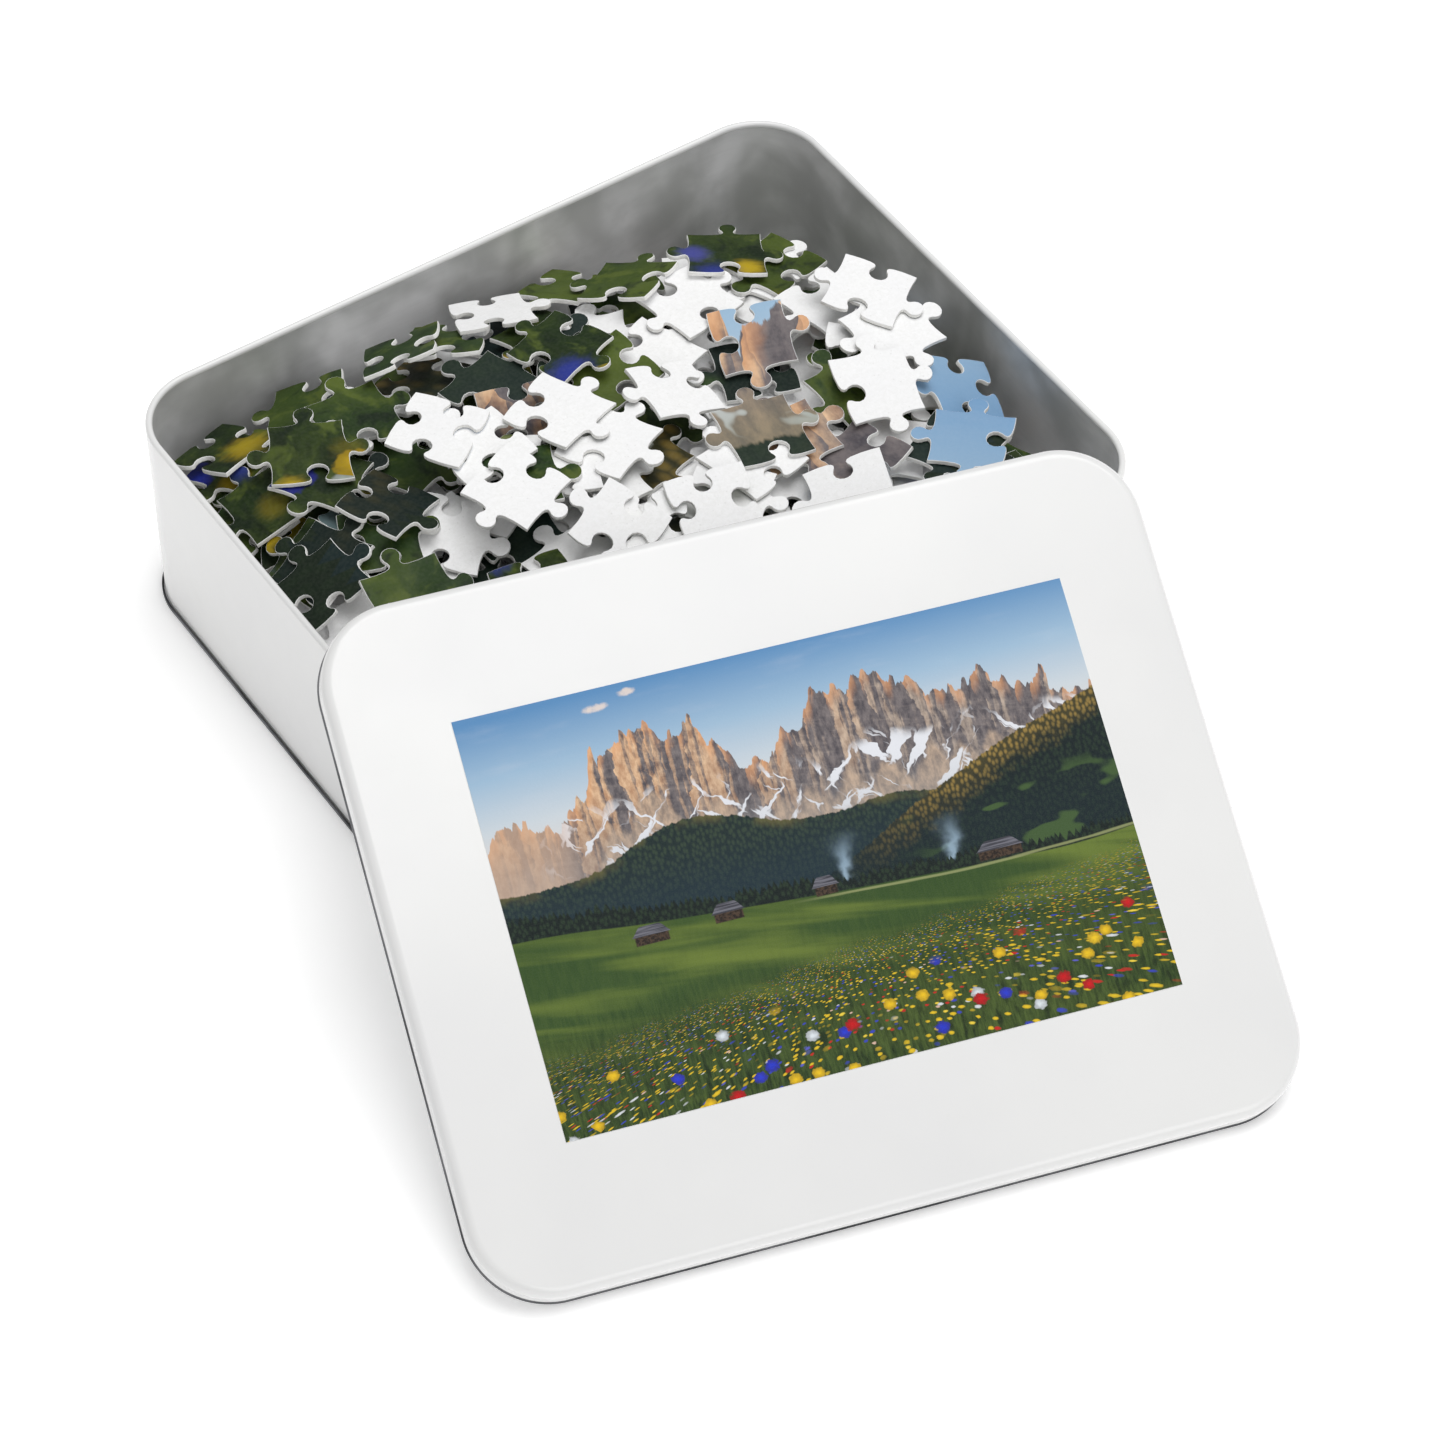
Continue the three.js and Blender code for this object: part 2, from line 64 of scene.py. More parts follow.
# ------------------------------------------------------------------ sizes, as in the CAD (mm)
TIN_W, TIN_D, TIN_H, TIN_R = 200.0, 164.6, 60.5, 19.0
SHEET, BEAD_W, SEAM_OUT, SEAM_H, GAP = 0.6, 1.8, 0.8, 1.5, 0.3
LID_W, LID_D, LID_H, LID_R = 203.8, 168.4, 8.7, 20.2
LID_X, LID_Y, LID_YAW, LID_TILT = -53.5, -194.5, -0.2869, 0.4806
LABEL_W, LABEL_D, LABEL_DX, LABEL_DY = 150.6, 101.8, 1.2, 1.1
COLS, ROWS, PIECE_W, PIECE_D, PIECE_T = 31, 21, 19.6, 19.6, 1.2

# ------------------------------------------------------------------ camera
AZ, EL, DIST, AIM_X, AIM_Y, ROLL = -0.5992, 0.8565, 1.22444, -0.00482, -0.0464, 0.0036
back = Vector((math.sin(AZ) * math.cos(EL), -math.cos(AZ) * math.cos(EL), math.sin(EL)))
right = Vector((math.cos(AZ), math.sin(AZ), 0))
up = back.cross(right)
right, up = math.cos(ROLL) * right + math.sin(ROLL) * up, -math.sin(ROLL) * right + math.cos(ROLL) * up
cam_data = bpy.data.cameras.new("studio_camera")
cam_data.sensor_width = 36.0
cam_data.lens = 4867.67 / 1445 * 36
cam_data.clip_start, cam_data.clip_end = 0.05, 60
cam = bpy.data.objects.new("studio_camera", cam_data)
scene.collection.objects.link(cam)
pos = Vector((AIM_X, AIM_Y, 0)) + back * DIST
cam.matrix_world = Matrix((
    (right.x, up.x, back.x, pos.x), (right.y, up.y, back.y, pos.y), (right.z, up.z, back.z, pos.z), (0, 0, 0, 1)))
scene.camera = cam


# ------------------------------------------------------------------ node helpers
def srgb(r, g, b):
    f = lambda v: (v / 255) / 12.92 if v <= 10 else ((v / 255 + 0.055) / 1.055) ** 2.4
    return (f(r), f(g), f(b), 1.0)


class Net:
    """Small helper that writes shader nodes as expressions."""

    def __init__(self, tree):
        self.t = tree

    def new(self, kind, **kw):
        n = self.t.nodes.new(kind)
        for k, v in kw.items():
            setattr(n, k, v)
        return n

    def put(self, sock, v):
        if isinstance(v, bpy.types.NodeSocket):
            self.t.links.new(v, sock)
        elif v is not None:
            sock.default_value = v

    def m(self, op, a, b=None, c=None, clamp=False):
        n = self.new("ShaderNodeMath", operation=op, use_clamp=clamp)
        for s, v in zip(n.inputs, (a, b, c)):
            self.put(s, v)
        return n.outputs[0]

    def add(self, a, b): return self.m("ADD", a, b)
    def sub(self, a, b): return self.m("SUBTRACT", a, b)
    def mul(self, a, b): return self.m("MULTIPLY", a, b)

    def mix(self, f, a, b, blend="MIX"):
        n = self.new("ShaderNodeMix", data_type="RGBA", blend_type=blend)
        self.put(n.inputs[0], f)
        self.put(n.inputs[6], a)
        self.put(n.inputs[7], b)
        return n.outputs[2]

    def step(self, x, lo, hi, a=0.0, b=1.0):
        """Smooth step: a where x is lo, b where x is hi."""
        n = self.new("ShaderNodeMapRange", interpolation_type="SMOOTHSTEP")
        self.put(n.inputs["Value"], x)
        self.put(n.inputs["From Min"], lo)
        self.put(n.inputs["From Max"], hi)
        self.put(n.inputs["To Min"], a)
        self.put(n.inputs["To Max"], b)
        return n.outputs["Result"]

    def vec(self, x, y, z=0.0):
        n = self.new("ShaderNodeCombineXYZ")
        for s, v in zip(n.inputs, (x, y, z)):
            self.put(s, v)
        return n.outputs[0]

    def noise(self, v, scale, detail=3.0, rough=0.5, dist=0.0, dims="3D", color=False):
        n = self.new("ShaderNodeTexNoise", noise_dimensions=dims)
        if dims == "1D":
            self.put(n.inputs["W"], v)
        else:
            self.put(n.inputs["Vector"], v)
        n.inputs["Scale"].default_value = scale
        n.inputs["Detail"].default_value = detail
        n.inputs["Roughness"].default_value = rough
        n.inputs["Distortion"].default_value = dist
        return n.outputs["Color" if color else "Fac"]

    def voronoi(self, v, scale, feature="F1", dims="2D", rnd=1.0):
        n = self.new("ShaderNodeTexVoronoi", feature=feature, voronoi_dimensions=dims)
        if dims == "1D":
            self.put(n.inputs["W"], v)
        else:
            self.put(n.inputs["Vector"], v)
        n.inputs["Scale"].default_value = scale
        n.inputs["Randomness"].default_value = rnd
        return n

    def ramp(self, f, stops, interp="LINEAR"):
        n = self.new("ShaderNodeValToRGB")
        n.color_ramp.interpolation = interp
        el = n.color_ramp.elements
        while len(el) < len(stops):
            el.new(0.5)
        for e, (p, c) in zip(el, stops):
            e.position = p
            e.color = c if len(c) == 4 else (*c, 1)
        self.put(n.inputs[0], f)
        return n.outputs[0]

    def curve(self, x, pts):
        n = self.new("ShaderNodeFloatCurve")
        c = n.mapping.curves[0]
        c.points[0].location = pts[0]
        c.points[1].location = pts[-1]
        for p in pts[1:-1]:
            c.points.new(*p)
        n.mapping.use_clip = False
        n.mapping.update()
        self.put(n.inputs["Value"], x)
        return n.outputs[0]

    def split(self, v):
        n = self.new("ShaderNodeSeparateXYZ")
        self.put(n.inputs[0], v)
        return n.outputs[0], n.outputs[1], n.outputs[2]

    def bump(self, height, strength, distance=0.001, normal=None):
        n = self.new("ShaderNodeBump")
        n.inputs["Strength"].default_value = strength
        n.inputs["Distance"].default_value = distance
        self.put(n.inputs["Height"], height)
        if normal is not None:
            self.put(n.inputs["Normal"], normal)
        return n.outputs[0]


# ------------------------------------------------------------------ the picture: a made-up alpine meadow
def picture_group(name, detail):
    """detail 1 is the sharp print of the lid, lower values the softer look of a big print seen piece by piece."""
    g = bpy.data.node_groups.new(name, "ShaderNodeTree")
    g.interface.new_socket("Place", in_out="INPUT", socket_type="NodeSocketVector")
    g.interface.new_socket("Color", in_out="OUTPUT", socket_type="NodeSocketColor")
    N = Net(g)
    gi, go = g.nodes.new("NodeGroupInput"), g.nodes.new("NodeGroupOutput")
    u, v, _ = N.split(gi.outputs[0])
    X = N.mul(u, 1.48)
    P = N.vec(X, v)
    wave = lambda scale, depth=3, rough=0.55: N.sub(N.noise(P, scale, depth, rough), 0.5)
    # sky: deep above, pale and warm behind the rocks
    sky = N.ramp(N.add(v, N.mul(N.sub(u, 0.5), -0.03)), [(0.62, srgb(226, 214, 204)), (0.74, srgb(204, 213, 220)), (0.86, srgb(158, 188, 213)), (1.0, srgb(92, 142, 190))])
    haze = N.noise(N.vec(N.mul(X, 2.2), N.mul(v, 9)), 2.0, 4, 0.55)
    sky = N.mix(N.step(haze, 0.5, 0.85, 0, 0.18), sky, srgb(216, 218, 226))
    for cx, cy, sx in ((0.33, 0.955, 0.034), (0.41, 0.975, 0.024)):
        dx = N.m("DIVIDE", N.sub(X, cx), sx)
        dy = N.m("DIVIDE", N.sub(v, cy), 0.010)
        d = N.add(N.add(N.mul(dx, dx), N.mul(dy, dy)), N.mul(wave(44, 4, 0.6), 2.4))
        sky = N.mix(N.step(d, 0.10, 1.2, 0.8, 0), sky, srgb(240, 222, 208))
    # rock towers, each with a sunlit left flank
    prof = N.curve(u, [(0, .700), (.05, .730), (.10, .722), (.14, .705), (.165, .745), (.19, .815), (.225, .875), (.265, .892), (.30, .862), (.335, .868), (.37, .828),
                       (.41, .775), (.445, .735), (.475, .752), (.50, .800), (.535, .822), (.57, .862), (.61, .872), (.645, .905), (.68, .882), (.715, .835), (.75, .805),
                       (.79, .822), (.84, .800), (.89, .792), (.94, .762), (1, .748)])
    bend = N.mul(N.sub(N.noise(N.vec(N.mul(X, 5), N.mul(v, 8), 3.0), 1.0, 3, 0.5), 0.5), 0.10)
    wide = N.voronoi(N.add(X, N.mul(bend, 0.25)), 13, "F1", "1D")
    slim = N.voronoi(X, 37, "F1", "1D", 1.0)
    rw, _, _ = N.split(wide.outputs["Color"])
    rs, _, _ = N.split(slim.outputs["Color"])
    crest = N.add(N.mul(N.step(wide.outputs["Distance"], 0.50, 0.10), N.mul(rw, 0.052)), N.mul(N.step(slim.outputs["Distance"], 0.46, 0.06), N.mul(rs, 0.030)))
    top = N.add(N.add(prof, N.sub(crest, 0.022)), N.mul(N.sub(N.noise(X, 70, 5, 0.65, dims="1D"), 0.5), 0.026))
    flank = []
    for scale, amount, seed in ((9.5, 0.11, 1.0), (24, 0.06, 5.0), (58, 0.03, 9.0)):
        xb = N.add(X, N.mul(N.sub(N.noise(N.vec(N.mul(X, scale * 0.5), N.mul(v, 9), seed), 1.0, 4, 0.6), 0.5), amount))
        vo = N.voronoi(xb, scale, "F1", "1D")
        flank.append(N.step(N.sub(xb, vo.outputs["W"]), 0.16 / scale, -0.16 / scale))
    ribs = N.add(N.add(N.mul(flank[0], 0.46), N.mul(flank[1], 0.32)), N.mul(flank[2], 0.22))
    fine = N.noise(N.vec(N.mul(X, 64), N.mul(v, 30)), 1.0, 5, 0.66)
    ledge = N.noise(N.vec(N.mul(X, 9), N.add(N.mul(v, 70), N.mul(X, 12)), 2.0), 1.0, 3, 0.6)
    lit = N.add(ribs, N.add(N.mul(N.sub(fine, 0.5), 0.5), N.mul(N.sub(ledge, 0.5), 0.28)))
    lit = N.step(N.add(lit, N.step(u, 0.10, 0.85, 0.12, -0.14)), 0.34, 0.86)
    lit = N.mul(lit, N.step(v, 0.60, 0.78, 0.55, 1.0))
    shade = N.mix(N.step(fine, 0.3, 0.7), srgb(78, 74, 80), srgb(128, 120, 120))
    shade = N.mix(N.step(ledge, 0.5, 0.72, 0, 0.35), shade, srgb(152, 142, 138))
    warm = N.mix(N.step(fine, 0.28, 0.74), srgb(182, 138, 106), srgb(234, 198, 160))
    cool = N.mix(N.step(fine, 0.28, 0.74), srgb(146, 132, 122), srgb(196, 178, 162))
    sun = N.mix(N.step(N.add(u, N.mul(wave(7, 2), 0.5)), 0.30, 0.72), warm, cool)
    rock = N.mix(lit, shade, sun)
    tips = N.mul(N.step(N.sub(top, v), 0.055, 0.0), flank[1])
    rock = N.mix(N.mul(tips, 0.55), rock, srgb(230, 164, 112))
    # scree fans and snow in the gullies below the towers
    fan = N.add(N.curve(u, [(0, .60), (.1, .60), (.2, .66), (.26, .72), (.34, .70), (.40, .655), (.47, .63), (.55, .66), (.62, .665), (.70, .68), (.78, .66), (.88, .69), (1, .64)]),
                N.mul(N.sub(N.voronoi(X, 10, "F1", "1D").outputs["Distance"], 0.25), -0.14))
    fan = N.add(fan, N.mul(wave(30, 4, 0.6), 0.05))
    scree = N.mix(N.step(fine, 0.3, 0.7), srgb(150, 134, 122), srgb(206, 178, 152))
    rock = N.mix(N.mul(N.step(N.sub(fan, v), 0.0, 0.035), 0.8), rock, scree)
    for tilt, seed, lo, hi in ((0.95, 4.0, 0.575, 0.610), (-0.85, 8.0, 0.575, 0.61), (0.25, 13.0, 0.60, 0.63)):
        run = N.add(N.mul(X, 21), N.mul(v, 21 * tilt))
        gully = N.noise(N.vec(N.add(run, N.mul(wave(14, 3), 2.2)), N.mul(v, 6), seed), 1.0, 3, 0.5, 0.3)
        band = N.mul(N.step(v, 0.575, 0.60), N.step(N.add(v, N.mul(wave(9, 2), 0.12)), 0.70, 0.745, 1, 0))
        rock = N.mix(N.mul(N.step(gully, lo, hi), N.mul(band, N.step(u, 0.06, 0.14))), rock, srgb(228, 230, 236))
    far = N.step(u, 0.165, 0.10, 0, 0.62)
    rock = N.mix(far, rock, srgb(206, 172, 146))
    rock = N.mix(N.step(v, 0.70, 0.58, 0, 0.22), rock, srgb(150, 156, 160))
    img = N.mix(N.step(N.sub(top, v), 0.0, 0.003), sky, rock)
    # wooded hills
    tree = N.voronoi(N.vec(N.mul(X, 1.0), N.mul(v, 0.62)), 104, "F1", "2D").outputs["Distance"]
    hill1 = N.add(N.curve(u, [(0, .575), (.08, .572), (.16, .585), (.24, .632), (.31, .655), (.38, .640), (.46, .600), (.55, .588), (.64, .600), (.75, .575), (.9, .60), (1, .62)]),
                  N.mul(N.sub(N.noise(X, 60, 4, 0.6, dims="1D"), 0.5), 0.014))
    wood1 = N.mix(N.mul(N.step(tree, 0.1, 0.62), detail), srgb(52, 68, 54), srgb(28, 44, 44))
    wood1 = N.mix(N.step(v, 0.62, 0.46, 0, 0.72), wood1, srgb(30, 50, 62))
    wood1 = N.mix(N.mul(N.step(N.sub(hill1, v), 0.030, 0.0), N.step(N.noise(P, 11, 3), 0.42, 0.6, 0, 0.5)), wood1, srgb(122, 112, 62))
    img = N.mix(N.step(N.sub(hill1, v), 0.0, 0.004), img, wood1)
    hill2 = N.add(N.curve(u, [(0, .53), (.08, .50), (.18, .47), (.28, .445), (.40, .425), (.50, .445), (.58, .495), (.66, .555), (.75, .610), (.85, .668), (.93, .702), (1, .735)]),
                  N.mul(N.sub(N.noise(X, 70, 4, 0.6, dims="1D"), 0.5), 0.016))
    below = N.sub(hill2, v)
    glow = N.mul(N.step(u, 0.52, 0.80), N.step(N.add(below, N.mul(wave(24, 4), 0.10)), 0.01, 0.085, 1, 0))
    wood2 = N.mix(N.mul(N.step(tree, 0.12, 0.6), detail), srgb(36, 52, 42), srgb(18, 32, 34))
    wood2 = N.mix(N.step(v, 0.62, 0.46, 0, 0.5), wood2, srgb(24, 42, 48))
    wood2 = N.mix(N.mul(glow, 0.85), wood2, N.mix(N.step(tree, 0.1, 0.6), srgb(160, 132, 68), srgb(74, 68, 40)))
    glade = N.mul(N.step(N.noise(N.vec(N.mul(X, 5), N.mul(v, 12), 2.2), 1.0, 2), 0.60, 0.635), N.step(u, 0.62, 0.74))
    wood2 = N.mix(N.mul(glade, N.step(v, 0.60, 0.54, 0, 0.8)), wood2, srgb(72, 98, 54))
    img = N.mix(N.step(below, 0.0, 0.004), img, wood2)
    # smoke over the huts
    for sx, sy in ((0.79, 0.42), (1.045, 0.405)):
        ax = N.sub(N.add(X, N.mul(wave(16), 0.07)), N.add(sx, N.mul(N.sub(v, sy), 0.10)))
        ax = N.m("DIVIDE", ax, N.add(0.006, N.mul(N.m("MAXIMUM", N.sub(v, sy), 0.0), 0.17)))
        plume = N.mul(N.m("EXPONENT", N.mul(N.mul(ax, ax), -0.9)), N.mul(N.step(v, sy, sy + 0.01), N.step(v, sy + 0.03, sy + 0.13, 1, 0)))
        img = N.mix(N.mul(plume, 0.75), img, srgb(160, 186, 206))
    # tree line and meadow edge
    edge = N.curve(u, [(0, .468), (.08, .462), (.2, .442), (.34, .425), (.5, .408), (.66, .395), (.8, .385), (.9, .382), (1, .392)])
    spike = N.voronoi(X, 86, "F1", "1D").outputs["Distance"]
    line = N.add(edge, N.add(N.mul(N.noise(X, 7, 3, dims="1D"), N.step(u, 0.1, 0.9, 0.085, 0.055)), N.mul(N.sub(0.25, spike), 0.026)))
    img = N.mix(N.step(N.sub(line, v), 0.0, 0.004), img, N.mix(N.mul(N.step(tree, 0.1, 0.6), detail), srgb(38, 54, 40), srgb(18, 30, 28)))
    # meadow: rolling ground, sunlit towards the right
    roll = N.noise(N.vec(N.mul(X, 1.6), N.add(N.mul(v, 15), N.mul(X, 2.0))), 1.0, 3, 0.5, 0.4)
    grass = N.mix(N.step(N.add(roll, N.mul(N.sub(u, 0.5), 0.12)), 0.38, 0.64), srgb(52, 78, 36), srgb(106, 124, 52))
    grass = N.mix(N.step(v, N.m("MULTIPLY_ADD", u, 0.10, 0.28), N.m("MULTIPLY_ADD", u, 0.10, 0.12), 0, 0.8), grass, srgb(30, 50, 22))
    blades = N.noise(N.vec(N.mul(X, 120), N.mul(v, 17)), 1.0, 4, 0.7)
    grass = N.mix(N.mul(N.mul(N.step(blades, 0.32, 0.70), detail), N.step(v, 0.42, 0.02, 0.12, 0.5)), grass, srgb(98, 118, 56))
    dark = N.noise(N.vec(N.mul(X, 64), N.mul(v, 19), 6.0), 1.0, 3, 0.6)
    grass = N.mix(N.mul(N.step(dark, 0.45, 0.70), N.step(v, 0.30, 0.0, 0.08, 0.85)), grass, srgb(20, 36, 16))
    if detail < 1:
        mottle = N.noise(N.vec(N.mul(X, 44), N.mul(v, 38), 2.0), 1.0, 3, 0.62, 0.5)
        grass = N.mix(N.step(mottle, 0.50, 0.68, 0, 0.70), grass, srgb(116, 132, 58))
        grass = N.mix(N.step(mottle, 0.48, 0.32, 0, 0.80), grass, srgb(18, 38, 24))
    img = N.mix(N.step(N.sub(edge, v), 0.0, 0.004), img, grass)
    # track across the meadow and huts
    track = N.m("ABSOLUTE", N.sub(v, N.add(N.curve(u, [(0, .40), (.4, .405), (.55, .398), (.7, .388), (.85, .384), (1, .392)]), N.mul(N.sub(roll, 0.5), 0.02))))
    img = N.mix(N.mul(N.step(track, 0.0045, 0.001), N.step(u, 0.42, 0.55, 0, 0.7)), img, srgb(158, 164, 112))
    for hx, hy, w in ((0.315, 0.412, 0.042), (0.50, 0.420, 0.036), (0.735, 0.424, 0.028), (1.155, 0.412, 0.054)):
        x = N.m("ABSOLUTE", N.sub(X, hx))
        wall = N.mul(N.step(x, w, w - 0.004), N.mul(N.step(v, hy - 0.022, hy - 0.019), N.step(v, hy + 0.004, hy + 0.001)))
        img = N.mix(wall, img, N.mix(N.step(N.noise(P, 130, 2), 0.4, 0.6), srgb(40, 32, 28), srgb(76, 60, 48)))
        slope = N.sub(N.step(x, w + 0.008, 0.5 * w), N.m("DIVIDE", N.sub(v, hy), 0.024))
        roof = N.mul(N.mul(N.step(slope, 0.0, 0.08), N.step(v, hy - 0.001, hy + 0.001)), N.step(x, w + 0.008, w + 0.005))
        img = N.mix(roof, img, N.mix(N.step(N.noise(N.vec(N.mul(X, 9), N.mul(v, 200)), 1.0, 2), 0.4, 0.6), srgb(62, 62, 70), srgb(112, 112, 122)))
    # flowers lie on the ground plane, so they shrink towards the far edge
    depth = N.sub(N.m("MULTIPLY_ADD", u, 0.17, 0.225), v)
    t = N.m("MAXIMUM", depth, 0.018)
    near = N.step(N.add(depth, N.mul(wave(9, 2), 0.05)), 0.022, 0.06)
    gx, gy = N.m("DIVIDE", N.sub(X, 0.74), N.add(t, 0.05)), N.m("DIVIDE", 1.0, N.add(t, 0.05))
    sets = ((4.6, 0.0, 0.42, 0.28, 0.0), (3.4, 7.0, 0.26, 0.27, 0.030), (2.2, 3.0, 0.15, 0.26, 0.060))
    crisp = 0.72
    if detail < 1:
        sets = ((2.6, 0.0, 0.40, 0.40, 0.0), (1.7, 3.0, 0.28, 0.38, 0.040))
        gx, gy, crisp = N.mul(X, 3.4), N.mul(v, 7.4), 0.30
    for scale, z, share, size, lo in sets:
        vo = N.voronoi(N.vec(N.add(N.mul(gx, 3.0), z), N.mul(gy, 1.5)), scale, "F1", "2D")
        r1, r2, r3 = N.split(vo.outputs["Color"])
        wob = N.add(vo.outputs["Distance"], N.mul(N.sub(N.noise(N.vec(gx, gy), 34, 2), 0.5), 0.22))
        here = N.mul(N.step(wob, size, size * crisp), N.step(r1, share, share - 0.02))
        here = N.mul(N.mul(here, N.mul(near, N.step(N.noise(N.vec(N.mul(gx, 2.0), gy, z), 1.1, 2), 0.34, 0.52, 0.25, 1.0))), N.step(N.add(depth, N.mul(wave(9, 2), 0.09)), lo + 0.018, lo + 0.055))
        hue = N.ramp(r2, [(0.0, srgb(232, 196, 40)), (0.56, srgb(244, 214, 70)), (0.60, srgb(56, 72, 190)), (0.76, srgb(92, 96, 200)), (0.80, srgb(222, 226, 230)),
                          (0.87, srgb(226, 190, 170)), (0.90, srgb(200, 40, 34)), (1.0, srgb(190, 44, 40))], "CONSTANT")
        hue = N.mix(N.step(vo.outputs["Distance"], 0.02, size, 0, 0.35), hue, srgb(64, 62, 30))
        img = N.mix(here, img, hue)
    for scale, share, lim, size, stops in ((15, 0.30, 0.15, 0.26, [(0.0, srgb(238, 196, 34)), (0.34, srgb(44, 62, 204)), (0.62, srgb(222, 230, 236)), (0.80, srgb(206, 26, 30))]),
                                           (10, 0.24, 0.105, 0.20, [(0.0, srgb(198, 22, 28)), (0.45, srgb(40, 58, 198)), (0.72, srgb(240, 200, 40)), (0.9, srgb(226, 232, 238))])):
        big = N.voronoi(N.vec(N.add(N.mul(X, 1.0), scale), N.mul(v, 1.2)), scale, "F1", "2D")
        r1, r2, r3 = N.split(big.outputs["Color"])
        petal = N.add(big.outputs["Distance"], N.mul(N.sub(N.noise(P, 120, 2), 0.5), 0.20))
        here = N.mul(N.step(petal, size, size - 0.06), N.mul(N.step(r1, share, share - 0.02), N.step(N.sub(v, N.mul(u, 0.10)), lim, lim - 0.03)))
        hue = N.ramp(r2, stops, "CONSTANT")
        img = N.mix(here, img, N.mix(N.step(petal, 0.0, size - 0.02, 0, 0.45), hue, srgb(50, 36, 28)))
    # print density varies a little
    img = N.mix(N.step(N.noise(P, 420, 2), 0.35, 0.65, 0.0, 0.016), img, srgb(250, 250, 250))
    g.links.new(img, go.inputs[0])
    return g


PICTURE = picture_group("alpine_meadow_print", 1.0)
PICTURE_SOFT = picture_group("alpine_meadow_large_print", 0.35)


# ------------------------------------------------------------------ materials
def material(name):
    m = bpy.data.materials.new(name)
    m.use_nodes = True
    n = Net(m.node_tree)
    b = m.node_tree.nodes["Principled BSDF"]
    return m, n, b


def coords(n, what="Object"):
    return n.new("ShaderNodeTexCoord").outputs[what]


def enamel():
    m, n, b = material("white_enamel")
    p = coords(n)
    soft = n.noise(p, 16, 3, 0.5)
    speck = n.noise(p, 900, 2, 0.5)
    c = n.mix(n.step(soft, 0.3, 0.7), srgb(232, 232, 232), srgb(236, 236, 235))
    c = n.mix(n.step(speck, 0.64, 0.76, 0, 0.05), c, srgb(214, 214, 214))
    n.put(b.inputs["Base Color"], c)
    n.put(b.inputs["Roughness"], n.step(n.noise(p, 60, 4, 0.6), 0.3, 0.7, 0.20, 0.27))
    b.inputs["Specular IOR Level"].default_value = 0.5
    b.inputs["Coat Weight"].default_value = 0.25
    b.inputs["Coat Roughness"].default_value = 0.10
    h = n.add(n.mul(n.noise(p, 700, 2), 0.2), n.mul(n.noise(p, 14, 2), 1.0))
    n.put(b.inputs["Normal"], n.bump(h, 0.05, 0.0006))
    return m


def bare_tin(name, light, dark, rough_lo, rough_hi, metal, cloud):
    """Satin tinplate: soft light and dark blotches in the base colour, a painted reflection of the blurred
    surroundings, and a fine rolled grain that runs round the tin.
    """
    m, n, b = material(name)
    p = coords(n)
    x, y, z = n.split(p)
    blot = n.noise(n.vec(n.mul(x, 1.0), n.mul(y, 1.0), n.mul(z, 0.8)), cloud, 2, 0.45, 0.9)
    patch = n.noise(p, cloud * 2.6, 3, 0.5, 0.3)
    grain = n.noise(n.vec(n.mul(x, 60), n.mul(y, 60), n.mul(z, 700)), 1.0, 3, 0.6)
    f = n.add(n.mul(blot, 0.72), n.mul(patch, 0.28))
    c = n.mix(n.step(f, 0.36, 0.62), dark, light)
    c = n.mix(n.step(grain, 0.35, 0.75, 0, 0.10), c, dark)
    n.put(b.inputs["Base Color"], c)
    b.inputs["Metallic"].default_value = metal
    n.put(b.inputs["Roughness"], n.step(f, 0.3, 0.7, rough_hi, rough_lo))
    b.inputs["Specular IOR Level"].default_value = 0.5
    n.put(b.inputs["Normal"], n.bump(n.add(n.mul(grain, 0.15), blot), 0.10, 0.0008))
    return m


def board_face():
    """Matt white chipboard back, with fibre and faint grey flecks."""
    m, n, b = material("chipboard_white_back")
    p = coords(n)
    fib = n.noise(p, 900, 4, 0.7, 0.6)
    fleck = n.voronoi(p, 520, "F1", "3D").outputs["Distance"]
    tone = n.noise(p, 55, 3, 0.5)
    c = n.mix(n.step(fib, 0.3, 0.7), srgb(243, 243, 242), srgb(252, 252, 252))
    c = n.mix(n.step(tone, 0.35, 0.7, 0, 0.35), c, srgb(244, 244, 246))
    c = n.mix(n.step(fleck, 0.16, 0.05, 0, 0.20), c, srgb(186, 184, 180))
    n.put(b.inputs["Base Color"], c)
    n.put(b.inputs["Roughness"], n.step(fib, 0.3, 0.7, 0.62, 0.82))
    b.inputs["Specular IOR Level"].default_value = 0.3
    n.put(b.inputs["Normal"], n.bump(fib, 0.25, 0.0002))
    return m


def board_edge():
    """Die-cut edge: pale pressed layers, furry along the cut."""
    m, n, b = material("chipboard_cut_edge")
    p = coords(n)
    layer = n.noise(n.vec(*[n.mul(s, k) for s, k in zip(n.split(p), (400, 400, 2600))]), 1.0, 3, 0.6)
    fur = n.noise(p, 1500, 3, 0.7)
    c = n.mix(n.step(layer, 0.3, 0.7), srgb(232, 231, 227), srgb(250, 250, 248))
    c = n.mix(n.step(fur, 0.35, 0.75, 0, 0.18), c, srgb(206, 203, 196))
    n.put(b.inputs["Base Color"], c)
    b.inputs["Roughness"].default_value = 0.85
    b.inputs["Specular IOR Level"].default_value = 0.2
    n.put(b.inputs["Normal"], n.bump(fur, 0.4, 0.0003))
    return m


